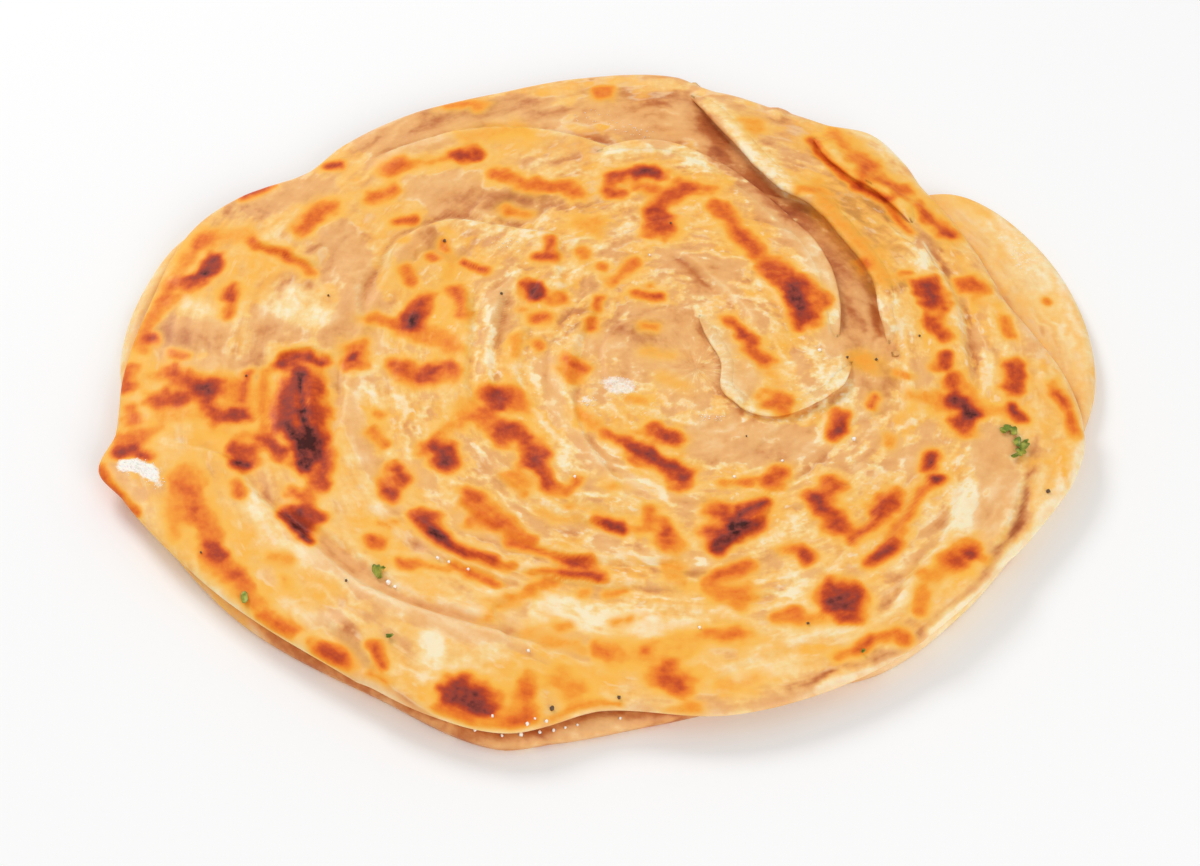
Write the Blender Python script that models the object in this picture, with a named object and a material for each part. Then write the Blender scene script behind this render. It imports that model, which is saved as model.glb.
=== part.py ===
"""A laccha paratha: one round of coiled, flattened and griddled dough that lies flat.

The bread is a single closed solid. Its base is flat. Its wall has two plies: a lower turn
of dough that peeks out as a lobe on the right, at the left and along the front, and the
upper turn that lies on it, with a crease between the two. Its top carries the coil's
shingled plies, the outer flap that folds over the coil at the back right, the rolled flap
at the front left, the tongue of dough in the eye of the coil and one large blister.

The tables are in millimetres and degrees, and build() works in metres. The bread's own
origin is on its base, under the middle of its box, with +Z up.
"""

import bpy
import numpy as np

MM = 0.001

# Thicknesses of the dough, in millimetres.
TOP_HEIGHT = 7.4
RIM_HEIGHT = 6.3
RIM_FALL_WIDTH = 16.0
PLY_THICKNESS = 3.9
PLY_MIDDLE = 1.9
UPPER_ROUNDING = 2.8
LOWER_ROUNDING = 2.2
CREASE_HEIGHT = 3.7
CREASE_DEPTH = 2.6
UNDERCUT = 0.6
BASE_INSET = 1.4

# The coil: its eye, the spacing of its plies, and how far each ply stands over the next.
COIL_EYE = (17.0, 0.0)
COIL_PITCH = 10.5
COIL_STEP = 0.75
COIL_INNER_RADIUS = 16.0
COIL_OUTER_RADIUS = 58.0

# The large blister at the left: centre, half-lengths along X and Y, and height.
BLISTER_CENTRE = (-56.5, -10.5)
BLISTER_HALF_LENGTHS = (6.5, 15.0)
BLISTER_HEIGHT = 1.8

# Fineness of the mesh.
SPOKES = 108
TOP_RINGS = 30
ROUNDING_STEPS = 3
BASE_RINGS = (0.75, 0.4)

# Radius of the upper turn's edge at stations round the bread: (angle, radius).
UPPER_EDGE = (
    (0, 86.5), (8, 82.0), (15, 79.0), (31, 79.3), (38, 79.6), (43, 81.8), (50, 83.6),
    (57, 80.6), (73, 79.8), (80, 83.4), (94, 82.0), (105, 80.5), (119, 81.3), (130, 81.4),
    (138, 80.6), (147, 86.6), (155, 89.6), (168, 89.4), (180, 90.8), (189, 92.0),
    (194, 96.0), (199, 93.0), (214, 87.4), (233, 83.6), (252, 84.8), (259, 84.0),
    (270, 77.6), (286, 81.6), (305, 83.6), (326, 84.8), (336, 87.2), (344, 89.8),
    (350, 90.2),
)

# Radius of the lower turn's edge at its own stations.
LOWER_EDGE = (
    (0, 92.6), (9, 93.6), (18, 93.2), (26, 91.6), (32, 89.4), (36, 86.2), (40, 79.2),
    (50, 80.6), (73, 78.8), (94, 79.8), (119, 78.6), (138, 78.0), (147, 85.2),
    (155, 91.4), (163, 92.8), (175, 92.6), (186, 90.0), (194, 91.0), (204, 88.6),
    (219, 86.0), (240, 82.6), (257, 85.3), (264, 82.4), (276, 78.6), (293, 77.8),
    (306, 82.6), (320, 83.4), (334, 84.6), (344, 87.4), (352, 89.8),
)

# Folds of the top: (rise, reach on the high side, dip on the low side, points). The high
# side is on the left of the way that the points run.
OUTER_FLAP = (
    3.0, 15.0, 1.6,
    ((13, 84), (19, 73), (26, 61), (34, 49), (41, 43), (47, 33), (52, 22), (53, 12), (54, 3)),
)
COIL_TURN = (
    1.3, 11.0, 0.9,
    ((44, 3), (44, 19), (41, 31), (34, 42), (24, 53), (14, 59.5), (5, 60), (-6, 57)),
)
BACK_FOLD = (
    1.3, 9.0, 1.0,
    ((41, 64), (44, 56), (49, 49.5), (53, 46.5), (57.5, 41), (61, 36)),
)
RIGHT_PLY = (
    1.0, 9.0, 0.8,
    ((70, -3), (69, 7), (68.5, 15), (66, 24), (64, 28), (63, 35)),
)
LEFT_FLAP = (
    1.6, 13.0, 0.9,
    ((-4, -66), (-18, -62), (-38, -54), (-47, -47), (-54, -39), (-62, -31), (-69, -21), (-84, -16)),
)
INNER_PLY = (
    0.8, 8.0, 0.5,
    ((-1, 34.5), (-9, 36), (-20, 38.5), (-31, 40), (-41, 34), (-44, 24), (-46, 16)),
)
EYE_TONGUE = (
    1.1, 8.0, 0.7,
    ((17, 17), (19, 9), (22, 1), (22, -6), (27, -11), (32, -12), (38, -9.5), (44, -5), (47, 3)),
)
FOLDS = (OUTER_FLAP, COIL_TURN, BACK_FOLD, RIGHT_PLY, LEFT_FLAP, INNER_PLY, EYE_TONGUE)
DIP_REACH = 5.0
FOLD_ENDS = 0.12
CURVE_STEPS = 5

CRUST_COLOUR = (0.83, 0.50, 0.20, 1.0)
CRUST_ROUGHNESS = 0.55


def clear_scene():
    for thing in list(bpy.data.objects):
        bpy.data.objects.remove(thing, do_unlink=True)


def smooth_step(value):
    """Eases from 0 to 1 as value goes from 0 to 1, with level ends."""
    value = np.clip(value, 0.0, 1.0)
    return value * value * (3.0 - 2.0 * value)


def closed_curve(stations, angle):
    """Radius at each angle in degrees: a cubic through the stations, with the slope at a
    station taken from its two neighbours, closed over 360 degrees."""
    knots = np.array(stations, float)
    turns = np.concatenate([knots[-2:] - (360.0, 0.0), knots, knots[:3] + (360.0, 0.0)])
    place, value = turns[:, 0], turns[:, 1]
    slope = np.zeros(len(turns))
    slope[1:-1] = (value[2:] - value[:-2]) / (place[2:] - place[:-2])
    index = np.searchsorted(place, angle, side="right") - 1
    width = place[index + 1] - place[index]
    along = (angle - place[index]) / width
    start = 2 * along**3 - 3 * along**2 + 1
    leave = along**3 - 2 * along**2 + along
    arrive = along**3 - along**2
    return (
        start * value[index]
        + (1 - start) * value[index + 1]
        + width * (leave * slope[index] + arrive * slope[index + 1])
    )


def open_curve(points):
    """A Catmull-Rom curve through the points, with CURVE_STEPS steps to each stretch."""
    points = np.array(points, float)
    ends = np.concatenate([2 * points[:1] - points[1:2], points, 2 * points[-1:] - points[-2:-1]])
    along = (np.arange(CURVE_STEPS) / CURVE_STEPS)[None, :, None]
    before, start, end, after = (ends[k : k + len(points) - 1, None] for k in range(4))
    curve = 0.5 * (
        2 * start
        + (end - before) * along
        + (2 * before - 5 * start + 4 * end - after) * along**2
        + (3 * start - before - 3 * end + after) * along**3
    )
    return np.concatenate([curve.reshape(-1, 2), points[-1:]])


def distance_from_curve(x, y, curve):
    """Signed distance from a curve, positive on its left, and the share of the way along
    it, both taken at the nearest of its straight pieces."""
    start, run = curve[:-1], np.diff(curve, axis=0)
    length = np.hypot(run[:, 0], run[:, 1])
    away_x = x[..., None] - start[:, 0]
    away_y = y[..., None] - start[:, 1]
    share = np.clip((away_x * run[:, 0] + away_y * run[:, 1]) / length**2, 0.0, 1.0)
    gap = np.hypot(away_x - share * run[:, 0], away_y - share * run[:, 1])
    side = np.sign(run[:, 0] * away_y - run[:, 1] * away_x)
    passed = (np.concatenate([[0.0], np.cumsum(length)[:-1]]) + share * length) / length.sum()
    nearest = np.argmin(gap, axis=-1)[..., None]
    distance = np.take_along_axis(gap * side, nearest, -1)[..., 0]
    return distance, np.take_along_axis(passed, nearest, -1)[..., 0]


def fold_height(x, y, fold):
    """A step along the fold's curve: it rises on the left, dips on the right, and both die
    away with distance and towards the curve's two ends."""
    rise, reach, dip, points = fold
    distance, share = distance_from_curve(x, y, open_curve(points))
    ends = smooth_step(share / FOLD_ENDS) * smooth_step((1.0 - share) / FOLD_ENDS)
    high = rise * np.exp(-np.clip(distance, 0.0, None) / reach)
    low = -dip * np.exp(np.clip(distance, None, 0.0) / DIP_REACH)
    return ends * np.where(distance >= 0.0, high, low)


def coil_height(x, y):
    """A spiral of shingled plies: a saw-tooth that climbs outwards by COIL_STEP over each
    COIL_PITCH and starts again one turn further on, faded in and out between two radii."""
    radius = np.hypot(x - COIL_EYE[0], y - COIL_EYE[1])
    turn = np.arctan2(y - COIL_EYE[1], x - COIL_EYE[0]) / (2.0 * np.pi)
    tooth = np.mod(radius / COIL_PITCH + turn, 1.0)
    fade = smooth_step(radius / COIL_INNER_RADIUS)
    fade = fade * smooth_step((COIL_OUTER_RADIUS + COIL_PITCH - radius) / COIL_PITCH)
    return COIL_STEP * (tooth - 0.5) * fade


def blister_height(x, y):
    """A low dome: a cosine hump over an ellipse."""
    across = (x - BLISTER_CENTRE[0]) / BLISTER_HALF_LENGTHS[0]
    along = (y - BLISTER_CENTRE[1]) / BLISTER_HALF_LENGTHS[1]
    spread = np.clip(np.hypot(across, along), 0.0, 1.0)
    return BLISTER_HEIGHT * 0.5 * (1.0 + np.cos(np.pi * spread))


def top_height(x, y, to_edge):
    """Height of the top at x, y, with to_edge the distance left to the upper turn's edge."""
    inward = smooth_step(to_edge / RIM_FALL_WIDTH)
    height = RIM_HEIGHT + (TOP_HEIGHT - RIM_HEIGHT) * inward
    height = height + 0.35 * np.sin(x / 19.0 + 0.6) * np.cos(y / 23.0) * inward
    height = height + coil_height(x, y) + blister_height(x, y)
    for fold in FOLDS:
        height = height + fold_height(x, y, fold)
    return height


def wall_profile(upper, lower, edge_height):
    """Radii and heights down the wall, for all spokes at once: the upper turn's rounded
    edge, the crease, the lower turn's rounded edge and the rim of the flat base."""
    turn = np.linspace(0.0, np.pi / 2, ROUNDING_STEPS + 1)[1:]
    crease = np.minimum(upper, lower) - CREASE_DEPTH
    middle = 0.5 * (edge_height + CREASE_HEIGHT)
    shelf = np.clip((lower - upper) / (2 * LOWER_ROUNDING), 0.0, 1.0)
    ply_top = CREASE_HEIGHT - 0.3 + (PLY_THICKNESS - CREASE_HEIGHT + 0.3) * shelf
    radii, heights = [], []
    for angle in turn:
        radii.append(upper - UPPER_ROUNDING * (1.0 - np.sin(angle)))
        heights.append(middle + (edge_height - middle) * np.cos(angle))
    radii.append(upper - UNDERCUT)
    heights.append(0.5 * (middle + CREASE_HEIGHT))
    radii.append(crease)
    heights.append(np.full_like(upper, CREASE_HEIGHT))
    radii.append(lower - LOWER_ROUNDING)
    heights.append(ply_top)
    for angle in turn:
        radii.append(lower - LOWER_ROUNDING * (1.0 - np.sin(angle)))
        heights.append(PLY_MIDDLE + (ply_top - PLY_MIDDLE) * np.cos(angle))
    radii.append(lower - BASE_INSET)
    heights.append(np.zeros_like(upper))
    return radii, heights


def bread_points():
    """Points of the solid as rings from the top's middle, over the wall, to the base's
    middle, and the two middle points themselves."""
    degrees = np.arange(SPOKES) * 360.0 / SPOKES
    cosine, sine = np.cos(np.radians(degrees)), np.sin(np.radians(degrees))
    upper = closed_curve(UPPER_EDGE, degrees)
    lower = closed_curve(LOWER_EDGE, degrees)
    share = (np.arange(TOP_RINGS) + 1.0) / TOP_RINGS
    radius = share[:, None] * (upper - UPPER_ROUNDING)
    height = top_height(radius * cosine, radius * sine, upper - radius)
    radii, heights = wall_profile(upper, lower, height[-1])
    radii += [(lower - BASE_INSET) * inward for inward in BASE_RINGS]
    heights += [np.zeros(SPOKES) for _ in BASE_RINGS]
    radius = np.concatenate([radius, np.array(radii)])
    height = np.concatenate([height, np.array(heights)])
    rings = np.stack([radius * cosine, radius * sine, height], axis=-1)
    middle = np.zeros(1)
    top_middle = (0.0, 0.0, float(top_height(middle, middle, upper.mean() + middle)[0]))
    return rings, top_middle, (0.0, 0.0, 0.0)


def ring_faces(ring_count):
    """Quads between neighbouring rings, and a fan of triangles at each end."""
    here = np.arange(SPOKES)
    beside = (here + 1) % SPOKES
    faces = []
    for ring in range(ring_count - 1):
        outer, inner = (ring + 1) * SPOKES, ring * SPOKES
        quads = np.stack([inner + here, outer + here, outer + beside, inner + beside], axis=1)
        faces += quads.tolist()
    top_point = ring_count * SPOKES
    base_point = top_point + 1
    last = (ring_count - 1) * SPOKES
    faces += np.stack([here, beside, np.full(SPOKES, top_point)], axis=1).tolist()
    faces += np.stack([last + beside, last + here, np.full(SPOKES, base_point)], axis=1).tolist()
    return faces


def crust_material():
    material = bpy.data.materials.new("paratha_crust")
    material.use_nodes = True
    shader = material.node_tree.nodes["Principled BSDF"]
    shader.inputs["Base Color"].default_value = CRUST_COLOUR
    shader.inputs["Roughness"].default_value = CRUST_ROUGHNESS
    shader.inputs["Metallic"].default_value = 0.0
    return material


def make_paratha():
    rings, top_middle, base_middle = bread_points()
    points = np.concatenate([rings.reshape(-1, 3), [top_middle], [base_middle]]) * MM
    mesh = bpy.data.meshes.new("paratha")
    mesh.from_pydata(points.tolist(), [], ring_faces(len(rings)))
    mesh.validate()
    mesh.shade_smooth()
    mesh.materials.append(crust_material())
    bread = bpy.data.objects.new("paratha", mesh)
    bpy.context.scene.collection.objects.link(bread)
    return bread


def build():
    clear_scene()
    make_paratha()


build()
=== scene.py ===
"""Looks of a laccha paratha: a round of coiled, flattened and griddled dough.

The bread is made of two turns of dough. The lower turn is a pale disc that peeks out as a
lobe on the right, at the left and along the front. The upper turn lies on it and carries
the coil's plies, the outer flap, the rolled flap at the front left, the tongue in the eye
of the coil and the blister. Leaf flecks, pepper specks, salt and flour lie on top.

Shapes are worked out in millimetres in the bread's own frame and put into meshes in metres.
Marks on the crust are measured from MARK_ORIGIN, in millimetres, on the plane MARK_PLANE
above the base; a mark on a higher ply is looked up further back, by MARK_LEAN.
"""

import math
from collections import namedtuple

import bpy
import numpy as np
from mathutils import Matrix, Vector


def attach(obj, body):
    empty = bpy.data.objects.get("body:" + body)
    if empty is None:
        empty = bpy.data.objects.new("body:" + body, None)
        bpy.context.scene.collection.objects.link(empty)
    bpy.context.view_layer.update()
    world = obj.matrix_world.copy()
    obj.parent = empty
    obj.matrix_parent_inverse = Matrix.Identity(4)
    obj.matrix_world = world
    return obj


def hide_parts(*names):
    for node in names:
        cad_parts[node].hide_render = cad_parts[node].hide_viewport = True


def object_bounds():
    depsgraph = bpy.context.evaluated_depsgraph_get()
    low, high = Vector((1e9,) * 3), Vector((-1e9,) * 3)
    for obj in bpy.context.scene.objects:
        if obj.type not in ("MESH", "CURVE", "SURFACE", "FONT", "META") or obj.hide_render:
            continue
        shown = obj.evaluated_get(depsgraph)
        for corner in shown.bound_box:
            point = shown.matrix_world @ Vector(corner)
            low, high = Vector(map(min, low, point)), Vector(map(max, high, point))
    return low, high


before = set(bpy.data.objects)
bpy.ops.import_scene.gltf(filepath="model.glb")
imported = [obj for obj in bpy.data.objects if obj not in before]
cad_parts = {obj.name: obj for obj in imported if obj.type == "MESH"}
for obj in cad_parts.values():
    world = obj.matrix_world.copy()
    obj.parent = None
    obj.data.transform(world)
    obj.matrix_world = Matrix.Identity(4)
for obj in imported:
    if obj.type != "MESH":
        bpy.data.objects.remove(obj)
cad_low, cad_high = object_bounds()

MM = 0.001
NODE = "paratha"

# ---------------------------------------------------------------- sizes of the bread, mm
TOP_HEIGHT = 7.4
RIM_HEIGHT = 6.3
RIM_FALL_WIDTH = 16.0
PLY_THICKNESS = 3.9
PLY_MIDDLE = 1.9
UPPER_ROUNDING = 2.8
LOWER_ROUNDING = 2.2
CREASE_HEIGHT = 3.7
CREASE_DEPTH = 2.6
UNDERCUT = 0.6
BASE_INSET = 1.4
SHELF_HEIGHT = CREASE_HEIGHT - 0.3
SHELF_WIDTH = 20.0
SHELF_STEP = 0.6
COIL_EYE = (17.0, 0.0)
COIL_PITCH = 10.5
COIL_STEP = 0.45
COIL_INNER_RADIUS = 16.0
COIL_OUTER_RADIUS = 58.0

# The plane that marks are measured on.
MARK_ORIGIN = (-1.0, -13.0)
MARK_PLANE = 6.0
MARK_LEAN = 0.87

# Fineness: cells across a disc grid, steps round a rim, round a lip's nose and between two
# points of a curve, and the spacing of a lip's sections.
TOP_CELLS = 288
BASE_CELLS = 225
RIM_STEPS = 6
NOSE_STEPS = 9
CURVE_STEPS = 6
LIP_STEP = 0.55

# Outlines of the two turns: (angle in degrees, radius).
UPPER_EDGE = (
    (0, 86.5), (8, 82.0), (15, 79.0), (31, 79.3), (38, 79.6), (43, 81.8), (50, 83.6),
    (57, 80.6), (73, 79.8), (80, 83.4), (94, 82.0), (105, 80.5), (119, 81.3), (130, 81.4),
    (138, 80.6), (147, 86.6), (155, 89.6), (168, 89.4), (180, 90.8), (189, 92.0),
    (194, 96.0), (199, 93.0), (214, 87.4), (233, 83.6), (252, 84.8), (259, 84.0),
    (270, 77.6), (286, 81.6), (305, 83.6), (326, 84.8), (336, 87.2), (344, 89.8),
    (350, 90.2),
)
LOWER_EDGE = (
    (0, 92.6), (9, 93.6), (18, 93.2), (26, 91.6), (32, 89.4), (36, 86.2), (40, 79.2),
    (50, 80.6), (73, 78.8), (94, 79.8), (119, 78.6), (138, 78.0), (147, 85.2),
    (155, 91.4), (163, 92.8), (175, 92.6), (186, 90.0), (194, 91.0), (204, 88.6),
    (219, 86.0), (240, 82.6), (257, 85.3), (264, 82.4), (276, 78.6), (293, 77.8),
    (306, 82.6), (320, 83.4), (334, 84.6), (344, 87.4), (352, 89.8),
)

# Folds, in the bread's frame: (rise, reach, dip, lip, ply thickness, points). The high side
# is on the left of the way that the points run; the ply's lip hangs over the low side.
FOLDS = (
    (2.6, 15.0, 1.2, 1.1, 1.3,
     ((15.5, 79), (19, 73), (26, 61), (34, 49), (41, 43), (47, 33), (52, 22), (53, 12), (54, 3))),
    (1.3, 11.0, 0.9, 0.7, 1.1,
     ((44, 3), (44, 19), (41, 31), (34, 42), (24, 53), (14, 59.5), (5, 60), (-6, 57))),
    (1.3, 9.0, 0.9, 0.5, 0.8,
     ((41, 64), (44, 56), (49, 49.5), (53, 46.5), (57.5, 41), (61, 36))),
    (1.1, 9.0, 0.8, 0.0, 0.0,
     ((70, -3), (69, 7), (68.5, 15), (66, 24), (64, 28), (63, 35))),
    (1.3, 13.0, 0.3, 0.0, 0.0,
     ((-4, -66), (-18, -62), (-38, -54), (-47, -47), (-54, -39), (-62, -31), (-69, -21),
      (-84, -16))),
    (0.9, 8.0, 0.5, 0.0, 0.0,
     ((-1, 34.5), (-9, 36), (-20, 38.5), (-31, 40), (-41, 34), (-44, 24), (-46, 16))),
    (0.8, 8.0, 0.35, 0.45, 0.6,
     ((17, 17), (19, 9), (22, 1), (22, -6), (27, -11), (32, -12), (38, -9.5), (44, -5),
      (47, 3))),
)

# Thin plies, measured as marks: (rise, points), high side on the left.
PLIES = (
    (0.9, ((-23, 4), (-24.5, 12), (-24, 20), (-24, 28), (-24.5, 36))),
    (0.8, ((-19, 6), (-19.8, 14), (-19.5, 22), (-18.5, 30), (-17, 36))),
    (0.6, ((-14.5, 8), (-14.8, 14), (-14, 20), (-13, 26))),
    (0.9, ((13, 45), (17, 41), (21, 36), (25, 31), (27.5, 26), (28.5, 21))),
    (0.6, ((28, 38), (31, 34), (34, 29), (36, 24))),
    (0.7, ((42, 4), (43.5, 7.5), (44.5, 10.5), (47, 14), (47.5, 18))),
    (0.7, ((44, -1), (48, 1), (52, 3), (55, 6.5))),
    (0.9, ((68, -8), (66, -13), (63.5, -20), (61, -27), (57.5, -32), (54, -37), (51, -42),
           (48, -45))),
    (0.8, ((62, -10), (59, -13.5), (56.5, -18), (54, -22.5), (51.5, -27), (48.5, -31))),
    (0.8, ((55, -10), (52, -15), (48.5, -22), (45, -27.5), (41.5, -32), (38.5, -37))),
    (0.6, ((47, -8), (45, -14), (42, -12))),
    (0.9, ((-37, -18), (-33, -24), (-28, -29), (-22, -32.5), (-16, -34.5), (-8, -36.5),
           (2, -38), (12, -38.5), (20, -37))),
    (0.9, ((-29, -12), (-25.5, -19), (-20, -24.5), (-14, -28.5), (-7, -31.5), (2, -33),
           (10, -33), (18, -31))),
    (0.7, ((-20, -10), (-16, -15.5), (-11, -19.5), (-5, -22.5), (2, -25), (9, -29))),
    (0.7, ((-13, -7), (-9, -14), (-4, -19.5), (3, -21.5), (10, -21.5))),
    (0.9, ((18, -30), (23, -28.5), (27, -25.5), (30, -21.5), (32, -17))),
    (0.8, ((-60, -16), (-54, -23), (-47, -28), (-42, -33.5), (-38, -37), (-33, -41),
           (-27, -43.5), (-21, -46), (-17, -48.5), (-12, -50))),
    (0.8, ((-34, -31), (-28, -32.5), (-22, -35), (-16, -37.5), (-10, -40.5))),
    (0.6, ((-15, -52), (-17, -47), (-18, -43), (-14, -40))),
    (0.4, ((0, -39), (8, -42), (17, -44), (25, -46.5), (32, -48.5))),
    (0.4, ((18, -60), (25, -55), (33, -51.5), (41, -48.5), (48, -45.5))),
    (1.3, ((-50, -45), (-45, -50), (-41, -55), (-37, -60), (-31, -66), (-25, -70))),
    (1.2, ((54, -50), (59, -45), (64, -39.5), (68.5, -34), (72.5, -28), (75.5, -21.5),
           (77.5, -15), (79, -9))),
    (0.9, ((83, 16), (81.5, 13), (82, 10), (85, 5), (88, 0))),
    (0.9, ((53, 38), (54.5, 31), (54.5, 26), (56.5, 22), (56, 17), (56.2, 10), (56, 3),
           (57, -4))),
    (1.0, ((8, 74), (2, 75), (-5, 77.5), (-15, 79.5), (-27, 79), (-38, 75), (-48, 70))),
    (0.8, ((-68, 47), (-60, 43), (-54, 40))),
    (0.8, ((6, -18), (4, -14), (1, -9), (-2, -3), (-4, 4), (-4.5, 12), (-3.5, 20), (-1, 27),
           (2, 32))),
    (0.7, ((-17, 41), (-18.5, 37), (-21, 34))),
    (0.6, ((-6, 34), (-7, 38), (-7.5, 43), (-7, 48))),
    (0.6, ((-26, 55), (-23, 53.5), (-20, 51.5))),
    (0.7, ((-44, 27), (-45.5, 31), (-45, 37), (-42.5, 42), (-42, 45))),
    (0.8, ((30, 87.5), (33, 84), (36, 80.5))),
    (0.7, ((66, 32), (64, 38), (62, 43), (58, 49), (56, 53))),
    (0.7, ((-49, 17), (-48.5, 8), (-49, 0), (-50.5, -8), (-51, -14))),
    (0.6, ((-61, 16), (-58, 18.5), (-54, 18.8), (-51.5, 16))),
    (0.6, ((-55, 12), (-54.8, 5), (-53.8, -1), (-53.2, -6))),
)

# Folds: the width of the step, how far the dip reaches, and the share of the length over
# which each end fades.
STEP_WIDTH = 2.0
DIP_REACH = 5.0
FOLD_ENDS = 0.15

# Thin plies: the width of the step, how far rise and dip reach, and the dip's share of the
# rise. THIN_PLY is the spacing of the layers in the colour.
PLY_STEP = 1.2
PLY_REACH = 4.5
PLY_DIP_REACH = 1.6
PLY_DIP = 0.25
THIN_PLY = 4.4

# Relief above SOFT_LIMIT eases towards HIGHEST.
SOFT_LIMIT = 9.2
HIGHEST = 10.3

# A lip is held by a root that reaches HOLD behind the fold's line. From its deep end to the
# step, the root lies at these shares of HOLD and at these lifts off the skin.
HOLD = 3.6
LIP_ROOT = (1.0, 0.8, 0.6, 0.4, 0.2, 0.0)
LIP_LIFT = (-0.40, -0.06, 0.01, 0.03, 0.04, 0.05)

# How far past a mark its browning can reach, and the distance from the coil's eye at which
# the grain along the plies is as long as it is said to be.
HALO = 7.0
GRAIN_RADIUS = 40.0

# Griddle spots on the base: how many, how far out, and the turn from one to the next.
BASE_SPOTS = 96
BASE_SPOT_REACH = 84.0
SUNFLOWER_TURN = 2.39996

BLISTER_CENTRE = (-56.5, -10.5)
BLISTER_HALF_LENGTHS = (6.5, 15.0)
BLISTER_HEIGHT = 1.8

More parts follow.
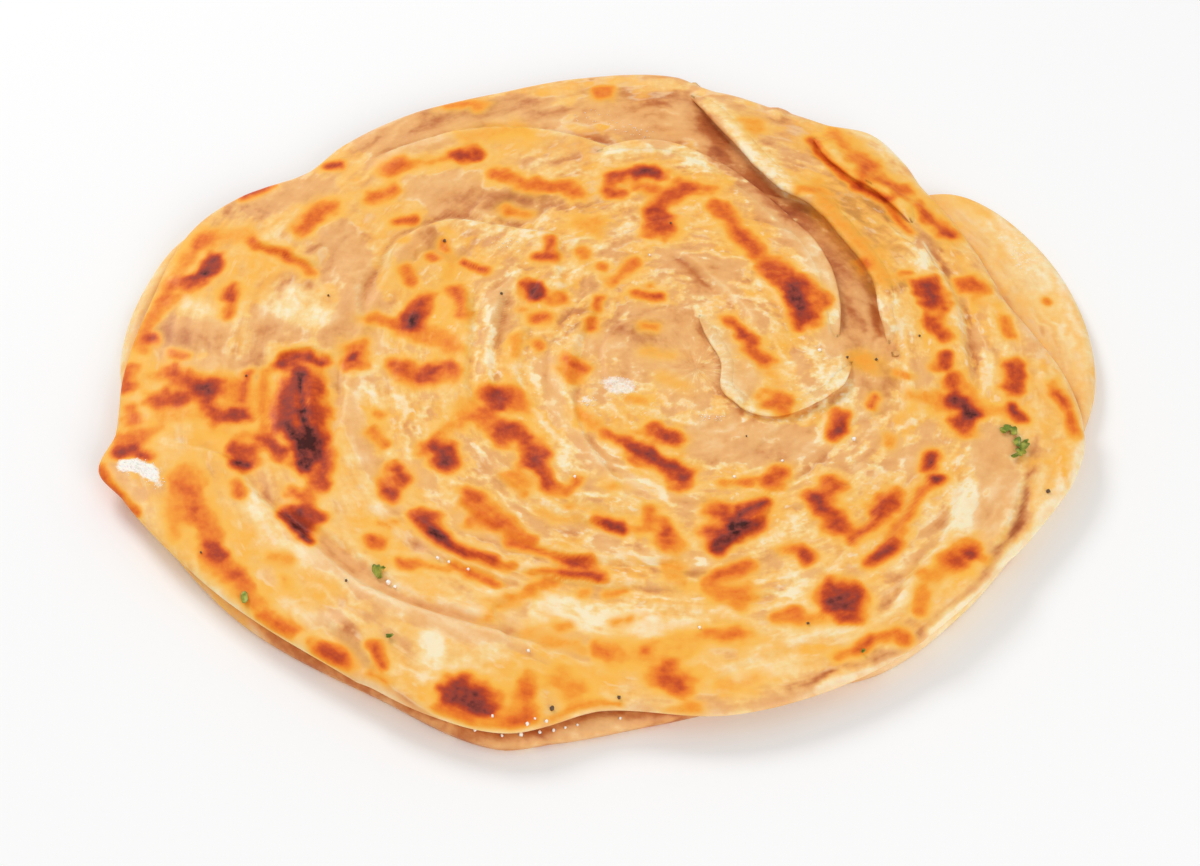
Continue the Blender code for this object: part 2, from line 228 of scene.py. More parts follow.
# Browned marks: (darkness, width, points along the mark). Darkness runs from 0.2, golden,
# over 0.5, orange, and 0.7, red-brown, to 1, charred.
BROWNING = (
    # along the back rim and the back left
    (.8, 1.5, (-54.5, 68.2), (-51.8, 68.8)), (.8, 1.6, (-70, 60.6), (-65.5, 63.4)),
    (.5, 4, (-41.5, 68.3), (-39.5, 68.7)), (.5, 2.8, (-45, 59.5), (-40.5, 61.5)),
    (.5, 3.4, (-52.8, 57.5), (-54.5, 55.5)), (.55, 3, (-56, 53.5), (-57.5, 51)),
    (.4, 3, (-78.5, 46.5), (-76.5, 48)), (.72, 3.4, (-27.6, 71), (-25.6, 71.8)),
    (.35, 2.4, (-40, 68), (-34, 69), (-28, 71)), (.25, 3.5, (-27, 77), (-21, 78.5), (-15, 78)),
    (.5, 3, (-21, 66), (-17, 64.5), (-12, 62.3), (-7, 62.5), (-4, 60)),
    (.45, 2.6, (-18, 55.5), (-15.5, 55)), (.3, 4, (-5, 52.5), (-1, 52)),
    (.6, 1.5, (-39.5, 53), (-36.5, 53)), (.45, 3.5, (-.5, 90), (.8, 90.3)),
    (.4, 3, (-32, 86.7), (-24, 86.3)), (.27, 4, (-78, 49), (-70, 49)),
    (.56, 1.8, (-68, 47.5), (-64.5, 45.4), (-61, 43.8)), (.5, 1.2, (-61, 43.8), (-58, 41.5), (-56.4, 39.6)),
    # between the back rim and the coil
    (.6, 2, (1, 61), (4.2, 61.2)), (.5, 2.6, (1.2, 62), (1.8, 65)),
    (.66, 3.2, (2.8, 66.1), (7, 66.9), (10.4, 67.2)), (.78, 3, (7.5, 66.8), (10, 67)),
    (.62, 3.4, (17, 63), (13.5, 60.5), (11, 56.5)), (.45, 2.5, (17, 63), (20, 62.5), (22, 62)),
    (.72, 5, (11.5, 53.5), (12, 50.8)), (.56, 3.8, (22.8, 56.4), (25.4, 53), (27.5, 49)),
    (.6, 2.6, (27.5, 49), (30.5, 44.5)), (.64, 5, (33.6, 40.4), (35.2, 37.5), (37, 35)),
    (.84, 4.2, (37.6, 34), (38.8, 31), (39.4, 27.5)), (.6, 4, (39, 36), (41, 32)),
    (.45, 2, (39.5, 62.2), (40.8, 61.8)),
    # the outer flap and the right-hand side
    (.3, 4, (30, 80), (31, 80)), (.42, 4, (51, 70), (53, 68)), (.3, 3.4, (46.5, 77), (49, 75)),
    (.55, 3, (56, 63.3), (60, 61.7)), (.45, 3.5, (52, 66), (55, 64.5)),
    # On the flap, the two broad faint bands that run down to the right from (42, 62) and (48, 62) are
    # partly the flap's own browning and partly painted shade on its shaded side.
    (.34, 2, (47, 78), (49.5, 73), (52.5, 68)), (.3, 5, (42, 62), (45, 57), (48, 51), (52, 44), (55, 38)),
    (.14, 6, (48, 62), (52, 55), (57, 46)), (.58, 1.2, (42.5, 76.5), (43.5, 72.5), (47, 67.5), (51, 63)),
    (.66, 1.6, (50, 63), (53, 61), (56, 59)), (.5, 1.4, (57, 57), (58.5, 53), (60, 50.5)),
    (.33, 3, (70, 5), (76, 4)), (.5, 3.2, (62.5, 57.5), (65, 53.5), (67.5, 50), (68.5, 48.7)),
    (.6, 2, (63.5, 55), (65, 53)), (.65, 2.4, (67, 50.5), (68.3, 49)), (.5, 2.2, (51, 42.3), (51.5, 41.5)),
    (.45, 1, (58.2, 39.2), (58.9, 38.9)), (.88, 4.4, (62.2, 35.2), (64, 31.2)),
    (.7, 2.8, (63, 26.2), (63.8, 22.8)), (.75, 2.6, (64.2, 16), (64.9, 14.2)),
    (.7, 2.8, (66.8, 11), (66.4, 7.5)), (.85, 3.2, (66.8, 6), (69, 3.8)), (.85, 3.6, (68, 3), (66.9, .8)),
    (.35, 2.5, (70, 7), (69.5, 9)), (.36, 4, (58, 7), (65, 5)), (.6, 3, (70.8, 36), (73.2, 35)),
    (.25, 1.6, (72.3, 31.8), (76, 31)), (.45, 2, (77, 27), (77.7, 23)),
    (.7, 3.4, (77.3, 14.5), (77.6, 9.5)), (.8, 1.6, (76.8, 4.7), (77.8, 2.2)),
    (.35, 1.6, (56, 13), (58, 12.3)), (.3, 4, (49, 16), (51, 15)), (.65, 2, (85.2, 8.2), (86.6, 5.2)),
    (.4, 2.6, (84, 10.5), (86, 6), (88, 2), (88.6, -1.5)), (.5, 1.4, (87.5, 3), (88.7, -.5)),
    # the left-hand side
    (.9, 3.8, (-75.7, 42.2), (-76.5, 39.6)), (.7, 3, (-77.2, 38.6), (-79, 35.4)),
    (.42, 2.6, (-87, 20), (-85.5, 28), (-82.5, 36)), (.4, 3, (-82.5, 36), (-80.5, 43), (-77.5, 49)),
    (.4, 4, (-78.5, 36), (-82, 32)), (.78, 3, (-69.9, 34.8), (-70.3, 33)),
    (.5, 1.8, (-70.3, 31.5), (-71, 27.5)), (.8, 1.6, (-85.2, 22.5), (-84.6, 22.3)),
    (.5, 1.4, (-80.8, 18.7), (-78.2, 18.2)), (.6, 3.2, (-88, 15), (-88, 10.5)),
    (.56, 2.4, (-87.2, 4.5), (-86.8, 1.8)), (.85, 2.6, (-88, -7), (-85.6, -5.6), (-83.4, -7.6)),
    (.5, 4, (-87, -3.5), (-84, -2.5)), (.72, 3.5, (-79.5, 13.5), (-76, 11.5), (-73, 9.5)),
    (.8, 3.8, (-74, 9), (-72.4, 6), (-71, 2.5)), (.62, 3.5, (-82.5, 6.5), (-79, 6.8)),
    (.5, 3, (-79, 7), (-76, 9)), (.3, 6, (-72, 10), (-66, 9)), (.35, 5, (-69, 8), (-66, 5)),
    (.3, 3, (-84, 13), (-78, 13.5)), (.28, 5, (-82, 3), (-76, 3), (-70, 0)),
    (.78, 3, (-66.8, 3.2), (-65.8, 2.4)), (.6, .9, (-65.8, 13), (-66.5, 7)),
    (.68, 2.2, (-67.4, -5.6), (-64.8, -6)), (.62, 2.6, (-66.4, -6.5), (-65, -9)),
    (.9, 1.4, (-66.5, -9.2), (-65.2, -10)), (.7, 2.8, (-61.8, -3), (-59.2, -6.2)),
    (.35, 3, (-66, -3), (-61, -4)), (.5, 1.6, (-66.4, -14.5), (-65.8, -15.8)),
    # the blister and what lies below it
    (.82, 4.6, (-56.6, 13.5), (-57.4, 8.5), (-57.2, 2), (-56, -3)),
    (.78, 4, (-54.6, 13), (-53, 7), (-52.4, 1), (-52.3, -5)),
    (1, 3.2, (-56, -1.5), (-54.8, -5), (-54.4, -8.4)), (.95, 1.6, (-53.4, -2), (-52, -7)),
    (.7, 2.4, (-51.3, -5), (-50.6, -9), (-50.3, -14)), (.6, 1.6, (-52.8, -10), (-51.6, -12.5)),
    (.8, 2.4, (-60.2, 14.8), (-57.5, 17), (-54.5, 17.8), (-52.6, 16.6)),
    (.98, .5, (-55.6, 12), (-55.2, 5), (-54, -1)), (.4, 1.4, (-62.6, 13), (-62.8, 7), (-61.8, -1)),
    (.55, 3, (-55, -15.5), (-53, -17)), (.9, 4.6, (-54, -20), (-52.6, -22.8)),
    (.95, .8, (-57.2, -20.8), (-53, -25.6)), (.95, 1.2, (-53.2, -26.5), (-52.4, -27.6)),
    # the coil, left half
    (.55, 3, (-46.3, 20), (-45.8, 15)), (.95, 1, (-46, 17.8), (-46, 17.4)),
    (.62, 4, (-37, 14), (-36, 13.5)), (.78, 3.6, (-32, 13), (-30.5, 14.5)),
    (.5, 2.5, (-28.5, 15), (-27.5, 13)), (.35, 5, (-36, 12), (-28, 12)), (.75, 3, (-34, 31), (-35.2, 27)),
    (.9, 2, (-35, 27), (-35.5, 25.5)), (.5, 2.6, (-43.5, 27), (-38, 26)),
    (.42, 5, (-37, 24.5), (-31, 22.5), (-28, 20)), (.25, 3, (-29, 42), (-29, 38)),
    (.45, 2.4, (8.6, 63), (11, 61.2)), (.58, 2.6, (-27, 34), (-27.5, 28.5)), (.35, 3, (-28, 28), (-26, 28)),
    (.5, 2, (-37.5, 40), (-36.5, 36.5)), (.68, 1.2, (-26, 42.2), (-22, 40.2)),
    (.6, .8, (-33, 43.8), (-32.6, 42.6)), (.45, 1.2, (-30, 47.5), (-29.8, 45)),
    (.6, 2.6, (-9.6, 47.5), (-9.8, 44)), (.72, 2.2, (-11.3, 42.8), (-9, 43.4)),
    (.45, 2, (-3.5, 45), (-3, 43.2)), (.9, 2.5, (-13, 34.8), (-12.6, 33.4)), (.4, 2, (-15, 34), (-12, 34)),
    (.52, 2.5, (-9.5, 32), (-6.5, 32.8)), (.62, 2.4, (-13, 27.3), (-10.5, 28)),
    (.35, 2, (-15.4, 29.5), (-15, 29.5)), (.5, 2, (0, 40.2), (.6, 39.8)),
    (.45, 1.8, (2, 36), (4.5, 38.5), (7, 41.5)), (.55, 1.6, (.3, 32), (-.2, 30)),
    (.55, 1.6, (-1.3, 26.5), (-1.5, 24.5)), (.5, 1.4, (-12, 20.3), (-11.6, 19.8)),
    (.35, 1.8, (-16, 23), (-16.3, 17.5)), (.58, 2.6, (-5.5, 17), (-4.2, 14.5)), (.4, 2, (-6, 13), (-5, 11)),
    (.3, 2, (-7.5, 14), (-3, 15)), (.45, 1.6, (-41.2, 3.1), (-40.8, 2.8)),
    (.45, 1.6, (-42, -.5), (-40.5, -2.2), (-39.2, -4.5)), (.6, 4.4, (-19.8, 7), (-17.6, 7.2)),
    (.72, 3, (-19.5, 7.5), (-19, 5)), (.5, 5, (-16, 8), (-15, 5)), (.52, 4, (-21.5, 2), (-19.5, -1)),
    (.72, 4, (-18, -1.5), (-14.5, -3)), (.72, 4, (-14, -3.5), (-12.5, -8)),
    (.62, 3, (-12, -9), (-10.5, -13)), (.52, 2.2, (-10, -14), (-7, -15), (-4.5, -13.5)),
    (.4, 2, (-25.2, 1), (-24.8, -.5)), (.28, 4, (-24, 5), (-26, 2)), (.3, 2, (-27.5, -1), (-27.3, -1.4)),
    (.9, 4.8, (-29.2, -6.2), (-28.8, -8.2)), (.72, 2.8, (-37.2, -11), (-36.2, -13.5)),
    (.78, 2.2, (-39.5, -15.5), (-37.5, -16.5)),
    # the eye of the coil
    (.35, 3, (-2.8, 3), (-1.2, .5)), (.55, 2.6, (2, -2.3), (4, -4)), (.8, 3, (4.5, -4.6), (6.5, -6)),
    (.58, 3, (7.5, -7), (10, -8.5)), (.82, 3, (10, -8), (12.5, -8.8)), (.62, 3.4, (12.5, -10), (15, -12)),
    (.78, 3.4, (14.5, -11.3), (15.2, -12.5)), (.65, 3, (10.5, -.8), (12, -2)),
    (.82, 2.4, (12, -2.3), (13.2, -3.2)), (.35, 1.6, (7, -1), (7.3, -1.2)),
    (.65, 1.2, (7.5, 33.2), (11, 32.2)), (.35, .8, (9.5, 35.4), (9.6, 35.2)),
    (.4, 1.6, (8.5, 25.2), (10, 24.6)), (.68, 2.2, (24.8, 25.3), (26, 23.6)),
    (.68, 2, (26.8, 23), (27.8, 22)), (.6, 2.6, (28.5, 20.5), (30.5, 16.5)), (.25, 1.6, (31, 15), (33, 11)),
    (.52, 3.6, (31.3, 6.2), (34.3, 5.2)), (.7, 2.4, (44, 2), (43.8, 0)),
    (.78, 1.8, (42.5, -2.2), (44.8, -.8)), (.55, 1.2, (51.2, 7), (50.8, 4.8)),
    (.35, 1.6, (53.5, -3), (52.8, -5)), (.22, 2, (8, 18.5), (13, 18)), (.22, 2, (11, 12), (15, 10)),
    (.3, 1.6, (6.3, 6.6), (8.8, 6.3)),
    # the coil's lower plies
    (.65, 2, (-25, -16.5), (-22.5, -18)), (.5, 4.5, (-24, -18.5), (-20.5, -20.5)),
    (.5, 3, (-22, -22), (-17.5, -23.5)), (.48, 2.6, (-17, -24), (-12.5, -27)),
    (.5, 1.2, (-16, -28), (-12, -29.5), (-9.5, -30.5)),
    (.35, 2.2, (-15.8, -11.5), (-14.5, -13.5), (-13.3, -16)), (.62, 2.6, (-33, -21.5), (-30.5, -22.5)),
    (.72, 2, (-31.5, -23.5), (-28, -27)), (.82, 1.6, (-29, -26.3), (-25, -29.3)),
    (.72, 1.3, (-24, -30), (-19, -32)), (.45, 1.2, (-18.5, -32.5), (-15.5, -33)),
    (.5, .8, (-26, -33), (-22, -35), (-17.5, -36.8)), (.35, .6, (-32, -33), (-27, -34.5)),
    (.45, .5, (-13, -35.5), (-8, -34.5)), (.35, 1.2, (-6.2, -18.6), (-5.8, -18.6)),
    (.25, 1.6, (-11, -20), (-8, -22), (-4, -22)), (.5, 1.6, (-7.6, -30.8), (-4, -32)),
    (.68, 2.3, (-4.6, -32.2), (-3, -32.6)), (.76, 1.4, (-7, -34.3), (-3, -35), (-.5, -35.8)),
    (.45, 1.8, (-12.8, -38.5), (-8.8, -37.2)), (.35, 1.4, (-12.7, -39.5), (-12.2, -39.6)),
    (.35, 1.2, (-3.5, -39), (-2.6, -38.8)), (.4, 1, (1.5, -39), (3.5, -38.9)),
    (.52, 2.2, (-41, -27), (-38.5, -28)), (.35, 1.4, (-40, -24), (-37.8, -25)),
    (.35, 1.2, (-37.2, -23.3), (-36.8, -23.4)), (.52, 1.6, (-34.8, -32.3), (-33.4, -32.6)),
    (.35, 1.2, (-23, -35), (-18.5, -36)), (.62, 2, (0, -22.5), (4, -23.6)),
    (.72, 1.4, (1, -23.3), (4.5, -23.8)), (.35, 1, (5, -24), (8, -24)), (.45, 1.6, (9, -20), (9.5, -24)),
    (.45, 1.6, (11, -22), (12, -24)), (.68, 2.6, (11.5, -26), (12.8, -27.5)),
    (.35, 3, (9.5, -24), (12, -26)), (.65, 3.5, (21, -21), (24, -21.5)), (.7, 3.2, (24, -22), (28, -20.8)),
    (.98, 2.6, (24, -23), (28, -23)), (.95, 3, (20.8, -28.3), (24, -25.5)), (.6, 5, (21, -26), (26, -24)),
    (.85, 1, (25, -20.7), (30, -18.9)), (.4, 1.6, (22.5, -14), (25, -14)),
    (.55, 1.8, (26.5, -13.8), (27.8, -14)), (.62, 2.4, (31, -14), (34, -11.2)),
    (.58, 3, (21, -35.5), (26, -33)), (.45, 4, (22, -38.5), (25, -39.5)), (.3, 3, (12, -33.5), (14, -33)),
    (.3, 2, (12, -37), (15, -37)), (.65, 3, (39, -17), (42.5, -15)), (.88, 2.4, (39.3, -17.5), (40, -19.5)),
    (.65, 3, (41, -21), (43, -23)), (.55, 3, (42, -24), (44.5, -24.5)),
    (.52, 2.6, (35.2, -29), (36.8, -29.5)), (.68, 1.4, (36.6, -30), (37.2, -31.5)),
    (.97, 7.2, (41.8, -41.2), (43.8, -41.4)), (.6, 2.6, (39.8, -38.8), (40.2, -38.4)),
    (.45, 2, (31.5, -44), (34.5, -44.2)), (.4, 1.6, (35, -45.5), (39, -45)),
    (.3, 3, (2.3, -15), (2.8, -15)),
    # the plies at the front right
    (.68, 3, (50.5, -20.5), (51.8, -18.5)), (.45, 2, (51, -17), (53.5, -15.5)),
    (.62, 1.2, (50, -22), (47.5, -24.5), (45, -27.2)),
    (.5, 1.1, (62, -12.7), (58.5, -15.5), (56.5, -19), (55.5, -21.5)),
    (.9, .8, (61.9, -12.4), (61.6, -12.6)), (.42, 2.6, (54.5, -23.5), (53, -26)),
    (.62, 2, (53.5, -27.5), (48.5, -32)), (.72, 1.6, (52, -28.8), (50, -30.5)),
    (.88, 2, (61.2, -7.4), (60.8, -8.8)), (.68, 4, (63, -31.5), (66, -29)),
    (.82, 2, (65, -29), (66.5, -30.3)), (.4, 1.4, (67, -30.5), (69.5, -31.8)),
    (.35, 3, (58, -35.5), (61, -33.5)), (.42, 2.4, (57.5, -39.5), (56.3, -43)),
    (.3, 1.4, (56.7, -34.3), (57.2, -33.8)),
    # the rolled flap at the front left, and the front roll
    (.38, 6, (-76, -12), (-74, -18)), (.4, 5, (-74.5, -17), (-73, -22)), (.45, 4, (-71, -22), (-69.5, -28)),
    (.68, 3, (-70, -29), (-68.5, -31)), (.5, 4, (-69, -31), (-66.5, -35)),
    (.5, 3, (-65.5, -36), (-62, -40.5), (-60, -44)), (.52, 3.4, (-59.5, -45), (-57, -48)),
    (.3, 3, (-78, -18), (-76, -26)), (.5, 2, (-73.5, -20.5), (-73, -22.5)),
    (.42, 2, (-77, -13.5), (-76, -15)), (.58, 1.6, (-92, -10.5), (-90.5, -14), (-87.5, -18), (-84.5, -21)),
    (.3, 2.6, (-58.5, -31.5), (-56.5, -32)), (.3, 2, (-56, -36), (-55.5, -37.5)),
    (.52, 4, (-58, -47), (-55, -49)), (.78, 5.5, (-47.4, -54.2), (-46.6, -55)),
    (.4, 2, (-51, -50.5), (-50, -52)), (.36, 3, (-57, -52), (-51, -58), (-45, -62.5), (-39, -65.5)),
    (.6, 1.8, (-39.8, -51), (-38, -53.5), (-37.2, -54.8)), (.4, 1.4, (-40, -57), (-37, -59)),
    (.9, 7.5, (-24.2, -61.8), (-21.6, -63)), (.6, 3.5, (-26.5, -66), (-21, -68), (-14, -67)),
    (.5, 2.6, (-12.8, -57.5), (-13.2, -61)), (.35, 3, (-14.5, -61), (-13, -64)),
    (.35, 4, (-7, -58.5), (-4, -61)), (.68, 5, (12.5, -57.5), (14, -58.5)), (.42, 3, (9.5, -58), (11, -58)),
    (.42, 2.4, (13, -55), (13.2, -54.5)), (.45, 1.8, (0, -51.5), (2.8, -52.6)),
    (.3, 2.6, (-9, -50.5), (-4, -50.8)), (.3, 4, (4, -54), (9, -52.5)), (.25, 6, (10, -53), (18, -50)),
    (.5, 1.2, (8, -52.4), (8.4, -52.4)), (.45, 2.4, (19.5, -49), (24, -48.5)),
    (.3, 3, (24, -49), (27, -48.5)), (.42, 2.4, (11.8, -66.5), (15.5, -65.3)),
    (.45, 1.4, (42.5, -52.5), (46.5, -50.5), (47.5, -49.2), (50, -49)), (.55, 1.2, (45.5, -51), (47, -50)),
    (.55, 1.6, (52, -48.7), (53.5, -50.5)), (.42, 1.2, (-8.5, -67), (-4, -64.8), (0, -64.3), (3.5, -64.6)),
    (.3, 2, (3, -46.2), (4.5, -46)), (.35, 1.8, (-7.5, -47.2), (-6, -46.8)),
    (.3, 3, (-19, -43), (-16, -41)), (.3, 2, (-19.6, -45), (-19.2, -45)), (.25, 3, (-12, -48), (-9, -46.5)),
    (.25, 4, (22, -60), (27, -58)),
)

# Marks on the lower turn's lobe: an orange speck, and two faint strokes of painted shade near the upper
# turn's edge.
LOWER_MARKS = (
    (.45, .8, (86, 32), (86.3, 31.6)), (.2, 3, (72, 60), (76, 56)), (.12, 3, (70, 52), (74, 44)),
)

# Broad areas toasted to gold.
GOLDEN = (
    (.8, 12, (-72, -4), (-74, -18), (-66, -34), (-58, -46)), (.7, 8, (-52, -38), (-60, -27)),
    (.8, 12, (-34, -60), (-20, -58), (0, -58), (14, -55)), (.9, 8, (-12, -59), (-2, -61)),
    (.9, 9, (6, -54), (16, -53)), (.6, 7, (22, -58), (30, -58)), (.3, 5, (38, -54), (50, -51)),
    (.8, 6, (60, 3), (66, 5)), (.8, 8, (72, 4), (80, 2), (80, -6)), (.7, 6, (84, -8), (88, -12)),
    (.6, 6, (-27, 76), (-14, 77)), (.4, 7, (42, 66), (47, 58), (54, 48), (57, 40)),
    (.8, 7, (46, 76), (52, 68)), (.5, 9, (14, 68), (24, 60), (34, 48)), (.8, 5, (-84, 34), (-88, 16)),
    (.7, 7, (-80, -1), (-68, -1)), (.7, 8, (-37, 47), (-35, 36), (-27, 36)), (.6, 6, (-26, 48), (-28, 38)),
    (.2, 7, (-7, -4), (-6, -12)), (.6, 7, (-44, -22), (-37, -29)), (.4, 4, (-36, -33), (-22, -37)),
    (.6, 3, (7, 7), (12, 8)), (.5, 3, (9, 18), (15, 18)), (.5, 6, (-45, 60), (-54, 56)),
    (.5, 6, (-30, 28), (-42, 24)), (.5, 5, (-36, 16), (-26, 16)), (.5, 8, (58, 64), (66, 54)),
    (.4, 10, (-66, 40), (-76, 30)), (.5, 6, (2, -33), (16, -36), (28, -38)), (.5, 6, (44, -20), (54, -26)),
    (.5, 5, (58, -36), (66, -34)), (.4, 6, (-22, -12), (-20, -20)), (.5, 6, (72, 30), (76, 22)),
    (.7, 6, (-4, 40), (6, 38)), (.7, 5, (-17, 32), (-11, 28)), (.6, 5, (-32, 50), (-28, 40)),
    (.5, 6, (58, 18), (66, 24)), (.4, 6, (-30, -2), (-24, 4)), (.4, 6, (26, 22), (33, 8)),
)

# Flour left on the crust.
FLOUR = (
    (1, 3.2, (-87, -10), (-84.6, -9.6), (-82, -11.6)), (.5, 2, (-81.5, -13), (-80.8, -14)),
    (.66, 4, (2.4, 10.4), (5, 9.4)), (.7, 1.5, (-2.2, 6.2), (-1.8, 5.8)), (.6, .9, (18.8, 2), (19.6, 2)),
    (.5, .8, (22, 2), (22.5, 2.2)), (.3, 5, (80, 49), (84, 40)), (.35, 2, (-20, 47.5), (-16, 46.8)),
    (.25, 3, (4, 80), (10, 78)), (.2, 4, (-8, 82), (2, 82)),
)

# Painted shade deep in the valleys, along creases and on the shaded side of a fold, over dough that stayed
# raw there.
VALLEY_SHADE_AND_RAW_DOUGH = (
    (.6, 4, (21.5, 82), (24, 73)), (.8, 5, (24.5, 70), (29, 65), (35, 58.5), (41, 52)),
    (.45, 4, (43, 50), (46, 42), (47.5, 36)), (.3, 3, (47.5, 32), (48, 24), (48, 16)),
    (.9, 2.5, (43, 73), (48, 65), (53, 58), (57, 54)), (.7, 7, (43, 62), (48, 54), (53, 42), (55, 36)),
    (.4, 6, (50, 60), (54, 53), (58, 46)), (.2, 4, (16, 88), (19.5, 80), (23, 72)),
    (.9, 2, (-44.5, -47), (-41, -53), (-36, -60), (-29, -67)), (.35, 8, (50, 18), (52, 10)),
    (1, 1.2, (79.5, -10), (78, -15), (76, -21.5), (73, -28), (69, -34), (64.5, -39.5), (59.5, -45),
     (55.5, -49)),
    (1, .9, (33, -60.5), (39, -57.8), (44, -55), (48.5, -53), (52.5, -52.8)),
    (.35, 6, (-24, 59), (-10, 58), (2, 59)), (.5, 7, (-5, 28), (8, 24)),
    (.3, 5, (-34, 83), (-24, 85), (-14, 86)), (.3, 4, (-4, 89), (10, 89), (18, 88)),
    (.4, 4, (60, 50), (66, 46)), (.5, 4, (-33, 50), (-31, 44)), (.3, 3, (-62, 38), (-57, 37)),
    (.5, 1, (-64, 38), (-66, 33), (-66, 27)), (.35, 6, (-82, 23), (-74, 22)), (.4, 4, (46, 18), (56, 13)),
    (.35, 4, (-42, -2), (-40, -8)), (.3, 6, (34, -6), (40, -8)), (.4, 3, (-17, -13), (-14, -17)),
    (.4, .8, (66.5, -12), (63, -19), (60, -27), (55, -35), (50, -42)),
    (.9, .6, (-34, -27.5), (-28, -32), (-21, -35.8), (-14, -37.5)),
    (.7, .5, (-15, -19), (-9, -23.5), (-1, -26.5), (7, -28)), (.7, .5, (-21, -27), (-13, -31.5), (-8, -33)),
    (.8, .6, (3, -32.5), (11, -35), (19, -34)), (.7, .5, (-10, -12), (-4, -18), (4, -20)),
    (.7, .6, (-41, -12), (-38, -20), (-34, -26)), (.6, .5, (-27, -14), (-23, -21)),
    (.6, .5, (38, -22), (34, -28), (28, -32)), (.6, .6, (50, -10), (46, -12), (44, -10)),
    (.6, .5, (-24, 16), (-23, 24), (-23.5, 32)), (.5, .5, (-10, 12), (-10.5, 22), (-8, 30)),
)

# Dough that stayed damp and see-through, and dough that dried to a pale skin.
DAMP = (
    (1, 7, (17, 84), (24, 74), (30, 65), (36, 56), (41, 48), (46, 38), (49, 28), (50, 18)),
    (.9, 8, (-46, 77), (-34, 82), (-22, 84), (-12, 84)), (.8, 6, (-44, 72), (-36, 75), (-24, 80)),
    (.8, 6, (-36, 62), (-26, 64)), (.8, 8, (-30, 58), (-16, 58)), (1, 6, (-37, 45), (-34, 49), (-31, 45)),
    (.9, 6, (-50, 50), (-47, 40), (-45, 30), (-50, 24)), (.5, 5, (-64, 29), (-62, 24), (-58, 21)),
    (.9, 7, (-82, 23), (-73, 24)), (.7, 5, (-78, 16), (-70, 16)), (.7, 7, (-66, 58), (-56, 62)),
    (.9, 10, (8, 26), (18, 22), (26, 12)), (.7, 7, (2, 14), (12, 16), (16, 8)), (.8, 6, (14, 44), (24, 40)),
    (.7, 4, (22, 36), (30, 28)), (1, 9, (20, -3), (36, -5)), (.8, 8, (0, 22), (8, 20)),
    (.7, 8, (72, -5), (72, -20), (68, -28)), (.8, 9, (46, 22), (54, 8)), (.6, 6, (52, -4), (58, -8)),
    (.9, 6, (-58, -22), (-47, -33), (-38, -40), (-28, -45), (-16, -48), (-5, -52)),
    (.8, 3, (-40, -20), (-33, -28), (-24, -33), (-16, -36)), (.7, 5, (-48, 28), (-42, 20)),
    (.8, 3, (-33, -12), (-29, -18), (-22, -25), (-15, -28)), (.7, 4, (-20, 22), (-20, 38)),
    (.8, 3.5, (-45, 10), (-45, 0), (-42, -10), (-38, -19)), (.8, 10, (0, 86), (8, 82), (12, 78)),
    (.7, 3.5, (-10, 16), (-8, 4), (-2, -6), (6, -14), (16, -18)), (.7, 4, (0, -28), (12, -30), (18, -34)),
    (.6, 4, (50, 30), (54, 22)), (.6, 5, (78, 44), (82, 30), (84, 20)), (.7, 3, (74, 30), (70, 20)),
    (.6, 4, (-60, -36), (-52, -46)), (.9, 4, (-46, -50), (-40, -60), (-32, -68)),
    (1, 3.6, (-88.5, -13), (-85.5, -17)), (1, 2.4, (36, -62.5), (42, -59.8), (48, -56.5), (53, -54)),
)
